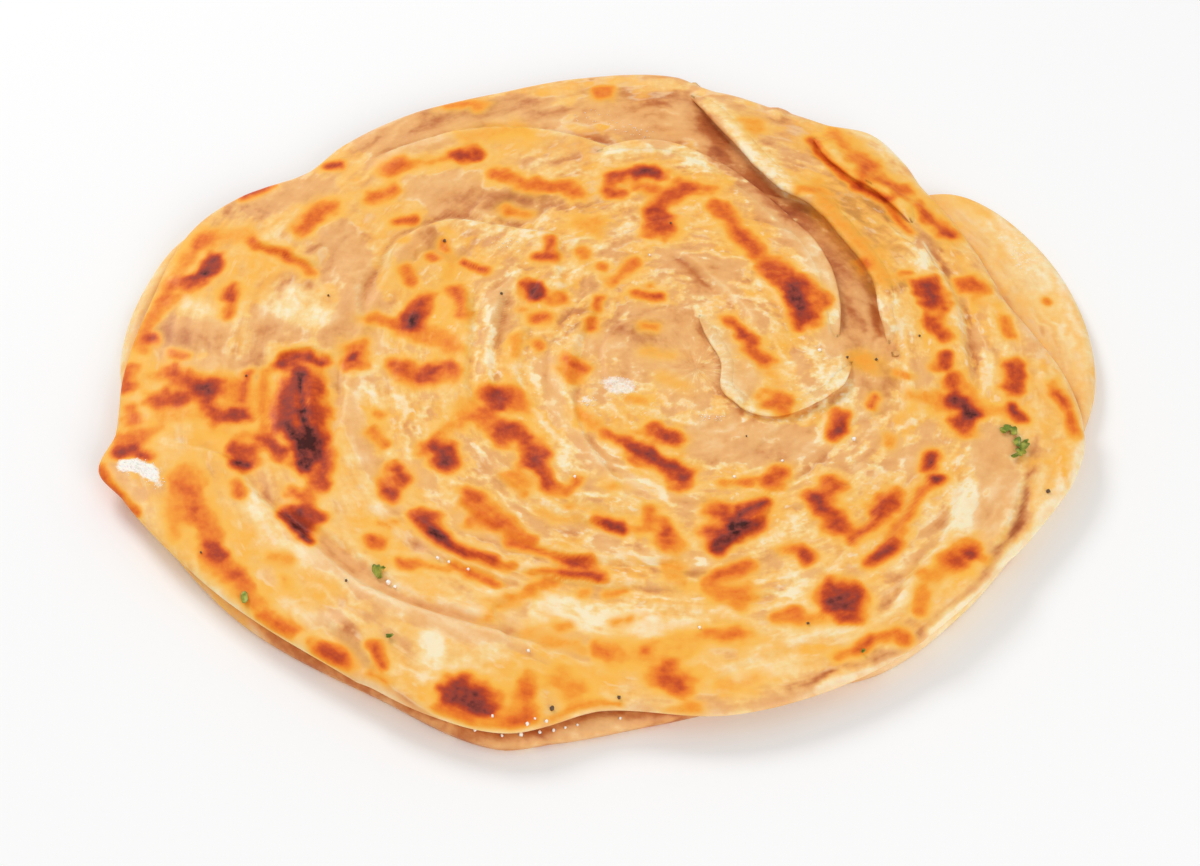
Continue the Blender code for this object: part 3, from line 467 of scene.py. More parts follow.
DRY = (
    (.8, 3, (-21, 47), (-17, 46.4)), (1, 4, (-7, 40), (-5, 40)), (.8, 3, (40, 19), (44, 17)),
    (.8, 3.5, (42, 13), (46, 10)), (1, 6, (-58, 32), (-60, 30), (-53, 28)), (.8, 4, (-76, 29), (-80, 32)),
    (1, 4.5, (66, -15), (64.5, -26)), (1, 7, (-8, -43), (2, -45), (8, -47)), (.8, 4, (14, -46), (22, -43)),
    (.8, 4, (36, -36), (34, -42)), (1, 5, (-28.5, -57), (-30, -50)), (.6, 4, (-63, -19), (-58, -25)),
    (.7, 4, (-60, -26), (-53, -31)), (.6, 3, (-53, -47), (-46, -51)), (.6, 4, (-24, -57), (-18, -52)),
    (.6, 3, (34, -50), (44, -47)), (.7, 3, (-7, -4), (-6, -9)), (.6, 3, (-43, 16), (-42, 11)),
    (.5, 5, (-48, -36), (-36, -40)), (.8, 4, (-55, -42), (-53, -46)), (.8, 5, (25, -57), (33, -55)),
    (.8, 4, (5, -13), (10, -15)),
    # The long mark along the front right rim pales the side face: partly dough dried unbrowned, partly
    # painted light where the side is lit.
    (1, 3, (89, -5), (87, -11), (84.5, -16), (82, -20), (78.5, -25.5), (74.5, -31.5), (70, -37), (65, -42),
     (59, -48)),
    (1, 2.4, (36, -62.5), (42, -59.8), (48, -56.5), (53, -54)), (.7, 3, (24, 84), (30, 72), (37, 62)),
    (.6, 3, (46, 14), (45, 4), (38, -6)), (.8, 1.6, (2, 72.5), (9, 73), (16, 71), (20, 68), (22.5, 63)),
    (.6, 2, (33, 55), (39, 47), (43, 40), (44.5, 32), (44, 24)), (.8, 3, (52, 77), (57, 74), (60, 69)),
    (.6, 2, (57, 50), (62, 42), (65, 36)), (.6, 2, (62, 64), (64, 61)),
    (.8, 2, (-26, 52), (-19, 49.5), (-10, 48), (0, 46.5)), (.7, 2, (-16, 30), (-17, 40)),
    (.6, 2, (-8, 30), (-9, 38)), (.7, 2, (-22.5, 30), (-22, 20), (-22, 12)),
    (.6, 2, (-13, 12), (-12, 2), (-6, -8)), (.9, 1, (-36, -29), (-29, -34), (-21, -37.8), (-13, -39)),
    (.8, .8, (-16, -17), (-10, -21.5), (-2, -24.8), (6, -26.4)), (.8, .8, (-20, -29.5), (-13, -33.2)),
    (.9, 1, (4, -30.5), (11, -33), (18, -32)), (.8, .8, (-11, -10), (-5, -16), (3, -18.2)),
    (.8, .8, (-43, -13), (-40, -21)), (.7, .8, (-29, -13), (-25, -20)),
    (.8, .8, (36, -20), (32, -26), (27, -30)), (.6, 2, (22, 24), (22, 14), (26, 6), (33, 2), (40, 4)),
    (.7, 3, (-44, 8), (-38, 6)), (.6, 3, (-46, -8), (-40, -6)),
)

# ---------------------------------------------------------------- mathematics


def smooth_step(value):
    """Eases from 0 to 1 as value goes from 0 to 1, with level ends."""
    value = np.clip(value, 0.0, 1.0)
    return value * value * (3.0 - 2.0 * value)


def closed_curve(stations, angle):
    """Radius at each angle in degrees: a cubic through the stations, with the slope at a
    station taken from its two neighbours, closed over 360 degrees."""
    knots = np.array(stations, float)
    turns = np.concatenate([knots[-2:] - (360.0, 0.0), knots, knots[:3] + (360.0, 0.0)])
    place, value = turns[:, 0], turns[:, 1]
    slope = np.zeros(len(turns))
    slope[1:-1] = (value[2:] - value[:-2]) / (place[2:] - place[:-2])
    index = np.searchsorted(place, angle, side="right") - 1
    width = place[index + 1] - place[index]
    along = (angle - place[index]) / width
    start = 2 * along**3 - 3 * along**2 + 1
    leave = along**3 - 2 * along**2 + along
    arrive = along**3 - along**2
    return (
        start * value[index]
        + (1 - start) * value[index + 1]
        + width * (leave * slope[index] + arrive * slope[index + 1])
    )


def open_curve(points):
    """A Catmull-Rom curve through the points, with CURVE_STEPS steps to each stretch."""
    points = np.array(points, float)
    ends = np.concatenate([2 * points[:1] - points[1:2], points, 2 * points[-1:] - points[-2:-1]])
    along = (np.arange(CURVE_STEPS) / CURVE_STEPS)[None, :, None]
    before, start, end, after = (ends[k : k + len(points) - 1, None] for k in range(4))
    curve = 0.5 * (
        2 * start
        + (end - before) * along
        + (2 * before - 5 * start + 4 * end - after) * along**2
        + (3 * start - before - 3 * end + after) * along**3
    )
    return np.concatenate([curve.reshape(-1, 2), points[-1:]])


def from_curve(x, y, curve):
    """For each point: its signed distance from the curve, positive on the left, and the share
    of the way along, both at the nearest straight piece."""
    start, run = curve[:-1], np.diff(curve, axis=0)
    length = np.hypot(run[:, 0], run[:, 1])
    away_x = x[:, None] - start[:, 0]
    away_y = y[:, None] - start[:, 1]
    share = np.clip((away_x * run[:, 0] + away_y * run[:, 1]) / length**2, 0.0, 1.0)
    gap = np.hypot(away_x - share * run[:, 0], away_y - share * run[:, 1])
    nearest = np.argmin(gap, axis=1)
    row = np.arange(len(x))
    side = np.sign(run[nearest, 0] * away_y[row, nearest] - run[nearest, 1] * away_x[row, nearest])
    passed = np.concatenate([[0.0], np.cumsum(length)[:-1]])[nearest]
    passed = (passed + share[row, nearest] * length[nearest]) / length.sum()
    return gap[row, nearest] * side, passed


def near_box(x, y, curve, margin):
    """Indices of the points that lie within margin of the curve's box."""
    low, high = curve.min(axis=0) - margin, curve.max(axis=0) + margin
    return np.nonzero((x > low[0]) & (x < high[0]) & (y > low[1]) & (y < high[1]))[0]


def lattice(column, row, seed):
    """A fixed pseudo-random value from 0 to 1 for each whole-number place."""
    mixed = (column * 374761393 + row * 668265263 + seed * 974634777) & 0xFFFFFFFF
    mixed = ((mixed ^ (mixed >> 13)) * 1274126177) & 0xFFFFFFFF
    mixed = ((mixed ^ (mixed >> 16)) * 2246822519) & 0xFFFFFFFF
    return ((mixed ^ (mixed >> 15)) & 0xFFFF) / 65535.0


def noise(x, y, size, seed):
    """Smooth value noise from -1 to 1, whose lumps are about size across."""
    column, row = np.floor(x / size).astype(np.int64), np.floor(y / size).astype(np.int64)
    across, along = smooth_step(x / size - column), smooth_step(y / size - row)
    low = lattice(column, row, seed) * (1 - across) + lattice(column + 1, row, seed) * across
    high = lattice(column, row + 1, seed) * (1 - across)
    high = high + lattice(column + 1, row + 1, seed) * across
    return 2.0 * (low * (1 - along) + high * along) - 1.0


def rough_noise(x, y, size, seed):
    """Three sizes of value noise added, each half the size and height of the last."""
    return (
        noise(x, y, size, seed)
        + 0.5 * noise(x, y, size / 2, seed + 1)
        + 0.25 * noise(x, y, size / 4, seed + 2)
    ) / 1.75


def along_coil(x, y):
    """Coordinates that follow the coil: the distance from its eye, and the angle about it."""
    radius = np.hypot(x - COIL_EYE[0], y - COIL_EYE[1])
    turn = np.arctan2(y - COIL_EYE[1], x - COIL_EYE[0])
    return radius, turn


def coil_grain(x, y, width, length, seed):
    """Noise drawn out along the plies: value noise on the distance from the coil's eye, in
    widths, and on the angle, in lengths of arc at a middling radius; two such patterns half
    a turn apart are blended so that no seam shows."""
    radius, turn = along_coil(x, y)
    arc = turn * GRAIN_RADIUS
    half = np.where(turn > 0, turn - np.pi, turn + np.pi) * GRAIN_RADIUS
    blend = smooth_step((np.abs(turn) - 1.2) / 0.8)
    first = noise(radius / width, arc / length, 1.0, seed)
    second = noise(radius / width, half / length, 1.0, seed + 7)
    return first * (1 - blend) + second * blend


# ---------------------------------------------------------------- relief of the top


Fold = namedtuple("Fold", "rise reach dip dip_reach step lip thick curve")


def all_folds():
    """Every fold and thin ply in the bread's frame. Only the folds have a lip."""
    folds = []
    for rise, reach, dip, lip, thick, points in FOLDS:
        folds.append(Fold(rise, reach, dip, DIP_REACH, STEP_WIDTH, lip, thick, open_curve(points)))
    back = MARK_ORIGIN[1] - MARK_LEAN * (TOP_HEIGHT - MARK_PLANE)
    for rise, points in PLIES:
        curve = open_curve(points) + (MARK_ORIGIN[0], back)
        folds.append(Fold(rise, PLY_REACH, PLY_DIP * rise, PLY_DIP_REACH, PLY_STEP, 0.0, 0.0, curve))
    return folds


def fold_ends(share):
    """Fades a fold out over FOLD_ENDS at each of its ends."""
    return smooth_step(share / FOLD_ENDS) * smooth_step((1.0 - share) / FOLD_ENDS)


def add_fold(x, y, relief, fold):
    """Adds one fold to the relief. Across its line the skin dips towards the foot, climbs
    over the step's width on the high side and falls off exponentially beyond."""
    rise, reach, dip, dip_reach, step, lip, _, curve = fold
    near = near_box(x, y, curve, 4.0 * reach)
    distance, share = from_curve(x[near], y[near], curve)
    ends = fold_ends(share)
    high = rise * np.exp(-np.maximum(distance - step, 0.0) / reach)
    low = -dip * np.exp(np.minimum(distance, 0.0) / dip_reach)
    climb = smooth_step(distance / step)
    relief["height"][near] += ends * (climb * high + (1.0 - climb) * low)
    weight = ends * min(1.0, 0.3 + 0.7 * rise)
    # The edge band is where the step's colour is painted paler, as a highlight; the foot band, at the foot
    # of the step and under a lip, is where shade is painted.
    edge = weight * np.exp(-(((distance - 0.5 * step) / 1.1) ** 2))
    from_foot = (distance + lip + 0.4) / (0.6 + 0.2 * lip)
    foot_shade = weight * min(1.0, 0.7 + 0.3 * lip) * np.exp(-(from_foot ** 2))
    relief["edge"][near] = np.maximum(relief["edge"][near], edge)
    relief["foot_shade"][near] = np.maximum(relief["foot_shade"][near], foot_shade)


def coil_height(x, y):
    """A spiral of shingled plies: a saw-tooth that climbs outwards over 0.94 of each
    COIL_PITCH and drops over the rest, its line made uneven. It fades out towards the eye
    and past the outer radius, and comes and goes in patches."""
    radius, turn = along_coil(x, y)
    wander = 0.35 * rough_noise(x, y, 17.0, 5)
    tooth = np.mod(radius / COIL_PITCH + turn / (2.0 * np.pi) + wander, 1.0)
    tooth = np.where(tooth < 0.94, tooth / 0.94, (1.0 - tooth) / 0.06)
    fade = smooth_step(radius / COIL_INNER_RADIUS)
    fade = fade * smooth_step((COIL_OUTER_RADIUS + COIL_PITCH - radius) / COIL_PITCH)
    patchy = smooth_step(0.6 + 0.8 * noise(x, y, 14.0, 9))
    return COIL_STEP * (tooth - 0.5) * fade * patchy


def blister_height(x, y):
    """A low dome: a cosine hump over an ellipse, wrinkled along its length."""
    across = (x - BLISTER_CENTRE[0]) / BLISTER_HALF_LENGTHS[0]
    along = (y - BLISTER_CENTRE[1]) / BLISTER_HALF_LENGTHS[1]
    spread = np.clip(np.hypot(across, along), 0.0, 1.0)
    hump = 0.5 * (1.0 + np.cos(np.pi * spread))
    crack = np.exp(-(((x - BLISTER_CENTRE[0] + 0.6 * noise(x, y, 4.0, 32)) / 0.7) ** 2))
    return BLISTER_HEIGHT * hump * (1.0 + 0.06 * noise(x, y / 3.0, 2.5, 31) - 0.25 * crack)


def skin(x, y):
    """Relief of the top skin for places x, y: the base height, the coil, the blister, every
    fold and ply, and an unevenness that runs with the coil; with it, how near each place is
    to a fold's edge and to its foot."""
    spokes = np.degrees(np.arctan2(y, x)) % 360.0
    inward = smooth_step((closed_curve(UPPER_EDGE, spokes) - np.hypot(x, y)) / RIM_FALL_WIDTH)
    height = RIM_HEIGHT + (TOP_HEIGHT - RIM_HEIGHT) * inward
    height = height + 0.35 * np.sin(x / 19.0 + 0.6) * np.cos(y / 23.0) * inward
    height = height + coil_height(x, y) + blister_height(x, y)
    height = height + 0.30 * rough_noise(x, y, 16.0, 11) * inward
    height = height + 0.14 * coil_grain(x, y, 2.2, 9.0, 21) + 0.07 * rough_noise(x, y, 3.0, 14)
    relief = {"height": height, "edge": np.zeros(len(x)), "foot_shade": np.zeros(len(x))}
    for fold in all_folds():
        add_fold(x, y, relief, fold)
    over = np.maximum(relief["height"] - SOFT_LIMIT, 0.0)
    room = HIGHEST - SOFT_LIMIT
    relief["height"] += room * (1.0 - np.exp(-over / room)) - over
    return relief


def softened(values, rounds, axes=(0, 1)):
    """Values smoothed by their neighbours along each of the axes, the given times."""
    for _ in range(rounds):
        for axis in axes:
            values = np.moveaxis(values, axis, 0)
            padded = np.concatenate([values[:1], values, values[-1:]])
            values = np.moveaxis(0.25 * padded[:-2] + 0.5 * padded[1:-1] + 0.25 * padded[2:], 0, axis)
    return values


# ---------------------------------------------------------------- marks on the crust


def mark_place(points):
    """Where points in millimetres lie in the marks' own plane."""
    lean = MARK_LEAN * (points[:, 2] - MARK_PLANE)
    return points[:, 0] - MARK_ORIGIN[0], points[:, 1] - MARK_ORIGIN[1] + lean


def mark_field(x, y, marks, soft):
    """How strongly the marks cover each point: a mark is half strong at half its width, and
    eases over soft on either side; where marks overlap their clear shares multiply."""
    clear = np.ones(len(x))
    for strength, width, *points in marks:
        line = np.array(points, float)
        near = near_box(x, y, line, 0.5 * width + soft)
        if len(near) == 0:
            continue
        distance, _ = from_curve(x[near], y[near], line)
        inside = (0.5 * width + soft - np.abs(distance)) / (2.0 * soft)
        clear[near] *= 1.0 - strength * smooth_step(inside)
    return 1.0 - clear


def browned(x, y, marks, uneven):
    """How browned each point is. A mark keeps its full darkness inside its width and falls
    off past it along a logistic curve, faster for a thin mark; uneven, in millimetres, pulls
    its outline in and out. Overlapping marks add up as the cube root of their cubes."""
    total = np.zeros(len(x))
    for strength, width, *points in marks:
        line = np.array(points, float)
        near = near_box(x, y, line, 0.5 * width + HALO)
        if len(near) == 0:
            continue
        distance, _ = from_curve(x[near], y[near], line)
        fall = np.clip(0.40 + 0.13 * width, 0.58, 0.85)
        beyond = np.abs(distance) - 0.5 * width + np.clip(0.4 * width - 0.3, 0.1, 1.0) * uneven[near]
        share = (1.0 + np.exp(-(0.5 * width + 0.4) / fall)) / (1.0 + np.exp((beyond - 0.4) / fall))
        total[near] += (strength * np.minimum(share, 1.0)) ** 3
    return np.cbrt(total)


def crust_marks(points, relief):
    """Masks for the griddled skin: browning, toast round it and in broad areas, crust from
    see-through damp dough up to dry skin, and tone from raw dough over dry skin to flour.
    Edges of plies are paler, partly their own flakes and partly a painted highlight; painted
    shade darkens their feet, the valleys and the hollows, and proud places are painted paler.
    The bread's side stays unbrowned and is painted paler, as if lit."""
    x, y = mark_place(points)
    warp_x = x + 0.8 * noise(x, y, 6.0, 41) + 0.4 * noise(x, y, 2.4, 42)
    warp_y = y + 0.8 * noise(x, y, 6.0, 47) + 0.4 * noise(x, y, 2.4, 48)
    flat_x, flat_y = points[:, 0], points[:, 1]
    grain = coil_grain(flat_x, flat_y, 1.9, 6.0, 61)
    patches = rough_noise(flat_x, flat_y, 6.0, 64)
    uneven = 0.5 * grain + 0.9 * noise(x, y, 3.1, 55) + 0.5 * noise(x, y, 1.4, 58)
    browning = 0.95 * browned(warp_x, warp_y, BROWNING, uneven)
    damp = mark_field(warp_x, warp_y, DAMP, 2.4)
    valley_shade_and_raw = mark_field(warp_x, warp_y, VALLEY_SHADE_AND_RAW_DOUGH, 1.6)
    dry = mark_field(warp_x, warp_y, DRY, 2.0)
    golden = mark_field(warp_x, warp_y, GOLDEN, 3.0)
    halo = mark_field(warp_x, warp_y, BROWNING, 4.5)
    foot_shade = relief["foot_shade"]
    side = relief["side"]
    crust = 0.60 + 0.42 * patches + 0.2 * grain + 0.28 * golden + 0.25 * halo + 0.5 * dry
    crust = crust - 0.8 * damp - 0.3 * valley_shade_and_raw - 0.3 * side
    crust = crust + 0.15 * relief["proud"] + 0.2 * relief["edge"]
    toast = 0.34 + 0.38 * patches + 0.22 * grain + (0.5 + 0.4 * patches) * golden
    toast = toast + 0.45 * halo + 0.15 * relief["proud"] - 0.6 * dry - 0.5 * side - 0.7 * valley_shade_and_raw
    tone = 0.57 + 0.10 * smooth_step((50.0 - flat_y) / 90.0) + 0.10 * grain
    tone = tone + 0.12 * noise(x, y, 4.0, 90) + 0.36 * dry
    # Painted shade: the tone drops in the valleys, at the feet of folds and under the lips.
    tone = tone - 0.55 * np.maximum(valley_shade_and_raw, 0.5 * foot_shade)
    # Painted light: ply edges, proud places and the bread's side are paler, and hollows, where proud is
    # below 0, are darker.
    tone = tone + 0.20 * relief["edge"] + 0.18 * relief["proud"] + 0.25 * side
    flour = mark_field(warp_x, warp_y, FLOUR, 0.8)
    away = np.hypot(flat_x - COIL_EYE[0], flat_y - COIL_EYE[1])
    flaky = (0.45 + 0.55 * smooth_step((66.0 - away) / 14.0)) * (1.0 - 0.6 * side)
    browning = browning * (1.0 - 0.75 * side) * (1.0 - 0.8 * flour)
    return {
        "browning": np.clip(browning, 0.0, 1.0),
        "toast": np.clip(toast, 0.0, 1.0),
        "crust": np.clip(crust, 0.0, 1.0),
        "tone": np.clip(tone, 0.0, 1.0),
        "flour": np.clip(flour, 0.0, 1.0),
        "flaky": flaky,
    }


# ---------------------------------------------------------------- meshes


def disc_places(cells):
    """A square grid mapped on to a disc so that its squares become rings: the share of the
    radius is the larger of the two coordinates, and the angle goes with their ratio."""
    line = np.linspace(-1.0, 1.0, cells + 1)
    a, b = np.meshgrid(line, line, indexing="ij")
    wide = np.abs(a) > np.abs(b)
    safe_a, safe_b = np.where(a == 0, 1.0, a), np.where(b == 0, 1.0, b)
    angle = np.where(wide, np.pi / 4 * b / safe_a, np.pi / 2 - np.pi / 4 * a / safe_b)
    share = np.where(wide, a, b)
    angle = np.where(share < 0, angle + np.pi, angle)
    return np.abs(share), np.degrees(angle) % 360.0


def square_border(cells):
    """Indices of a grid's border, counter-clockwise from its lower right corner."""
    index = np.arange((cells + 1) ** 2).reshape(cells + 1, cells + 1)
    return np.concatenate([index[-1, :-1], index[:0:-1, -1], index[0, :0:-1], index[:-1, 0]])


def grid_quads(index):
    """Quads between the neighbours of a two-way array of point indices."""
    corners = [index[:-1, :-1], index[1:, :-1], index[1:, 1:], index[:-1, 1:]]
    return np.stack(corners, axis=-1).reshape(-1, 4)


def wrapped_quads(rings, turned=False):
    """Quads between neighbouring closed rings, given as rows of point indices; turned makes
    them face the other way."""
    beside = np.roll(rings, -1, axis=1)
    corners = [rings[:-1], rings[1:], beside[1:], beside[:-1]]
    if turned:
        corners = [corners[k] for k in (0, 3, 2, 1)]
    return np.stack(corners, axis=-1).reshape(-1, 4)


def fan_to(ring, tip, turned=False):
    """Triangles from each stretch of a closed ring of point indices to one tip; turned makes
    them face the other way."""
    first, second = ring, np.roll(ring, -1)
    if turned:
        first, second = second, first
    return np.stack([first, second, np.full(len(ring), tip)], axis=1)


def ring_at(radius, angle, height):
    """A ring of points at the given radii, angles in degrees and heights."""
    angle = np.radians(angle)
    return np.stack([radius * np.cos(angle), radius * np.sin(angle), height], axis=1)


def mesh_object(name, points_mm, quads, triangles=(), masks=None):
    """A mesh object at the origin from points in millimetres, quads, triangles and masks,
    which are values for each point under a name."""
    mesh = bpy.data.meshes.new(name)
    quads = np.asarray(quads, np.int32).reshape(-1, 4)
    triangles = np.asarray(triangles, np.int32).reshape(-1, 3)
    mesh.vertices.add(len(points_mm))
    mesh.vertices.foreach_set("co", (np.asarray(points_mm) * MM).astype(np.float32).ravel())
    corners = np.concatenate([quads.ravel(), triangles.ravel()])
    mesh.loops.add(len(corners))
    mesh.loops.foreach_set("vertex_index", corners.astype(np.int32))
    starts = np.concatenate([np.arange(len(quads)) * 4, len(quads) * 4 + np.arange(len(triangles)) * 3])
    mesh.polygons.add(len(starts))
    mesh.polygons.foreach_set("loop_start", starts.astype(np.int32))
    mesh.update(calc_edges=True)
    mesh.validate()
    for key, values in (masks or {}).items():
        attribute = mesh.attributes.new(key, "FLOAT", "POINT")
        attribute.data.foreach_set("value", np.asarray(values, np.float32))
    mesh.shade_smooth()
    made = bpy.data.objects.new(name, mesh)
    bpy.context.scene.collection.objects.link(made)
    return made


def inside_box(points):
    """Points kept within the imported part's box, less a hair."""
    hair = 0.02
    low, high = np.array(cad_low) / MM + hair, np.array(cad_high) / MM - hair
    low[2] = 0.0
    return np.clip(points, low, high)


def upper_turn():
    """The griddled turn: a disc grid shaped by the relief, a rim and an underside closed by a
    fan. The rim is a quarter of an ellipse from the skin down to half-way between the skin
    and the crease, an undercut, and three rings that run in over the lower turn."""
    share, angle = (values.ravel() for values in disc_places(TOP_CELLS))
    edge = closed_curve(UPPER_EDGE, angle)
    radius = share * (edge - UPPER_ROUNDING)
    top = ring_at(radius, angle, np.zeros(len(radius)))
    relief = skin(top[:, 0], top[:, 1])
    top[:, 2] = relief["height"]
    grid = top[:, 2].reshape(TOP_CELLS + 1, TOP_CELLS + 1)
    # Proud: how far the skin stands over its softened self; proud places are painted paler and hollows
    # darker.
    relief["proud"] = np.clip((grid - softened(grid, 14)).ravel() / 0.6, -1.0, 1.0)
    border = square_border(TOP_CELLS)
    angle, edge, edge_height = angle[border], edge[border], top[border, 2]
    middle = 0.5 * (edge_height + CREASE_HEIGHT)
    rings = []
    for turn in np.linspace(0.0, np.pi / 2, RIM_STEPS + 1)[1:]:
        height = middle + (edge_height - middle) * np.cos(turn)
        rings.append(ring_at(edge - UPPER_ROUNDING * (1.0 - np.sin(turn)), angle, height))
    rings.append(ring_at(edge - UNDERCUT, angle, 0.5 * (middle + CREASE_HEIGHT)))
    inner = np.minimum(edge, closed_curve(LOWER_EDGE, angle)) - CREASE_DEPTH
    for depth, fall in ((0.0, 0.0), (3.0, 0.5), (10.0, 0.5)):
        rings.append(ring_at(inner - depth, angle, np.full_like(inner, CREASE_HEIGHT - fall)))
    wall = np.concatenate(rings)
    points = np.concatenate([top, wall, [(0.0, 0.0, CREASE_HEIGHT - 0.5)]])
    index = np.arange(len(top)).reshape(grid.shape)
    wall_index = len(top) + np.arange(len(wall)).reshape(len(rings), len(border))
    quads = [grid_quads(index), wrapped_quads(np.concatenate([border[None], wall_index]))]
    fan = fan_to(wall_index[-1], len(points) - 1, turned=True)
    points = inside_box(points)
    below = np.zeros(len(points) - len(top))
    relief = {key: np.concatenate([relief[key], below]) for key in ("edge", "foot_shade", "proud")}
    # Side: the rim's wall below the skin, fading out at the left tip; it stays unbrowned and is painted
    # paler, as if lit.
    down = np.clip((edge_height - wall[:, 2].reshape(wall_index.shape)) / 1.5, 0.0, 1.0)
    down = np.concatenate([np.zeros(len(top)), down.ravel(), [1.0]])
    relief["side"] = down * smooth_step((points[:, 0] + 78.0) / 12.0)
    return mesh_object("upper_turn", points, np.concatenate(quads), fan, crust_marks(points, relief))


def ply_lip(fold, seed):
    """One ply's lip, a section carried along the fold's line. From inside the bread the
    section comes up through the skin, runs out over the step, turns round a nose of the
    ply's thickness and goes back under; it sinks away at both ends. The lip's reach and its
    droop vary along the line. Returns rings of points, with edge and foot masks."""
    *_, step, lip, thick, curve = fold
    length = np.concatenate([[0.0], np.cumsum(np.hypot(*np.diff(curve, axis=0).T))])
    count = int(length[-1] / LIP_STEP) + 2
    along = np.linspace(0.0, length[-1], count)
    middle = np.stack([np.interp(along, length, curve[:, k]) for k in (0, 1)], axis=1)
    way = softened(np.gradient(middle, axis=0), 6, axes=(0,))
    way /= np.hypot(way[:, 0], way[:, 1])[:, None]
    left = np.stack([-way[:, 1], way[:, 0]], axis=1)
    ends = fold_ends(along / length[-1])[:, None]
    wander = noise(along, np.full(count, 0.5), 7.0, seed)[:, None]
    ragged = noise(along, np.full(count, 0.5), 1.7, seed + 50)[:, None]
    out = lip * ends * (0.92 + 0.16 * wander + 0.07 * ragged)
    half = 0.5 * thick * (0.25 + 0.75 * ends)
    turn = np.linspace(0.0, np.pi, NOSE_STEPS)[None, :]
    hold = HOLD * min(1.0, 0.5 + 0.5 * thick)
    root = len(LIP_ROOT)
    across = np.concatenate([
        np.broadcast_to(hold * np.array(LIP_ROOT), (count, root)),
        -out + half - half * np.sin(turn),
        np.full((count, 1), 0.3 * hold),
        np.full((count, 1), 0.8 * hold),
    ], axis=1)
    seat = np.maximum(across, step)
    under = np.zeros_like(across)
    under[:, :root] = LIP_LIFT
    under[:, root:-2] = 0.05 - half + half * np.cos(turn)
    under[:, -2:] = np.array([0.05, -1.2]) - 2.0 * half
    flat = (middle[:, None, :] + seat[:, :, None] * left[:, None, :]).reshape(-1, 2)
    height = skin(flat[:, 0], flat[:, 1])["height"].reshape(across.shape)
    overhang = np.clip((step - across) / (step + lip), 0.0, 1.0)
    height = height + under - (0.25 - 0.12 * wander) * lip * overhang**2 - 0.7 * (1.0 - ends)
    place = middle[:, None, :] + across[:, :, None] * left[:, None, :]
    points = np.concatenate([place, height[:, :, None]], axis=2)
    # The edge mask paints the nose paler, as a highlight; the foot mask covers the underside, where shade
    # is painted.
    edge = ends * np.exp(-(((across + out - 0.9) / 1.5) ** 2))
    foot_shade = np.zeros_like(across)
    foot_shade[:, root + NOSE_STEPS // 2 + 1 :] = 1.0
    return points, edge * (1.0 - foot_shade), foot_shade * ends


def ply_lips():
    """The folds' lips as one piece: each is a tube of sections, closed at both ends by a fan."""
    points, quads, fans, edge, foot_shade = [], [], [], [], []
    base = 0
    for seed, fold in enumerate(fold for fold in all_folds() if fold.lip > 0):
        rings, ring_edge, ring_foot = ply_lip(fold, seed)
        count, around = rings.shape[:2]
        index = base + np.arange(count * around).reshape(count, around)
        start, stop = base + count * around, base + count * around + 1
        quads.append(wrapped_quads(index, turned=True))
        fans += [fan_to(index[0], start, turned=True), fan_to(index[-1], stop)]
        points += [rings.reshape(-1, 3), rings[[0, -1]].mean(axis=1)]
        edge += [ring_edge.ravel(), np.zeros(2)]
        foot_shade += [ring_foot.ravel(), np.ones(2)]
        base = stop + 1
    points = inside_box(np.concatenate(points))
    relief = {"edge": np.concatenate(edge), "foot_shade": np.concatenate(foot_shade)}
    relief["proud"] = relief["side"] = np.zeros(len(points))
    return mesh_object("ply_lips", points, np.concatenate(quads), np.concatenate(fans),
                       crust_marks(points, relief))


def lower_rings(angle):
    """Radii and heights of the lower turn's rings at the angles: two inside, then a shelf
    that waves a little, then the rounded rim down to the base."""
    lower = closed_curve(LOWER_EDGE, angle)
    bare = np.clip((lower - closed_curve(UPPER_EDGE, angle)) / (2 * LOWER_ROUNDING), 0.0, 1.0)
    ply_top = SHELF_HEIGHT + (PLY_THICKNESS - SHELF_HEIGHT) * bare
    rings = [(share * (lower - SHELF_WIDTH), np.full_like(lower, SHELF_HEIGHT)) for share in (0.35, 0.7)]
    for back in np.arange(SHELF_WIDTH, LOWER_ROUNDING - 0.1, -SHELF_STEP):
        x, y, _ = ring_at(lower - back, angle, ply_top).T
        wave = 0.25 * rough_noise(x, y, 9.0, 71)
        sunk = 0.3 * smooth_step((back - 2.0) / 4.0) + wave * smooth_step((SHELF_WIDTH - back) / 4.0)
        rings.append((lower - back, ply_top - sunk))
    for turn in np.linspace(0.0, np.pi / 2, RIM_STEPS + 1):
        height = PLY_MIDDLE + (ply_top - PLY_MIDDLE) * np.cos(turn)
        rings.append((lower - LOWER_ROUNDING * (1.0 - np.sin(turn)), height))
    return rings + [(lower - 0.35, np.full_like(lower, 0.8))]


def base_masks(x, y):
    """Masks for the flat base: griddle spots on evenly toasted dough."""
    uneven = 1.2 * noise(x, y, 3.1, 78) + 0.5 * noise(x, y, 1.4, 79)
    warp_x = x + 2.4 * noise(x, y, 7.0, 85)
    warp_y = y + 2.4 * noise(x, y, 7.0, 86)
    return {
        "browning": browned(warp_x, warp_y, griddle_spots(BASE_SPOTS, 81), uneven),
        "toast": 0.5 + 0.5 * rough_noise(x, y, 9.0, 82),
        "crust": 0.62 + 0.6 * rough_noise(x, y, 8.0, 83),
        "tone": 0.66 + 0.2 * rough_noise(x, y, 5.0, 84),
        "flour": np.zeros(len(x)),
        "flaky": np.full(len(x), 0.6),
    }


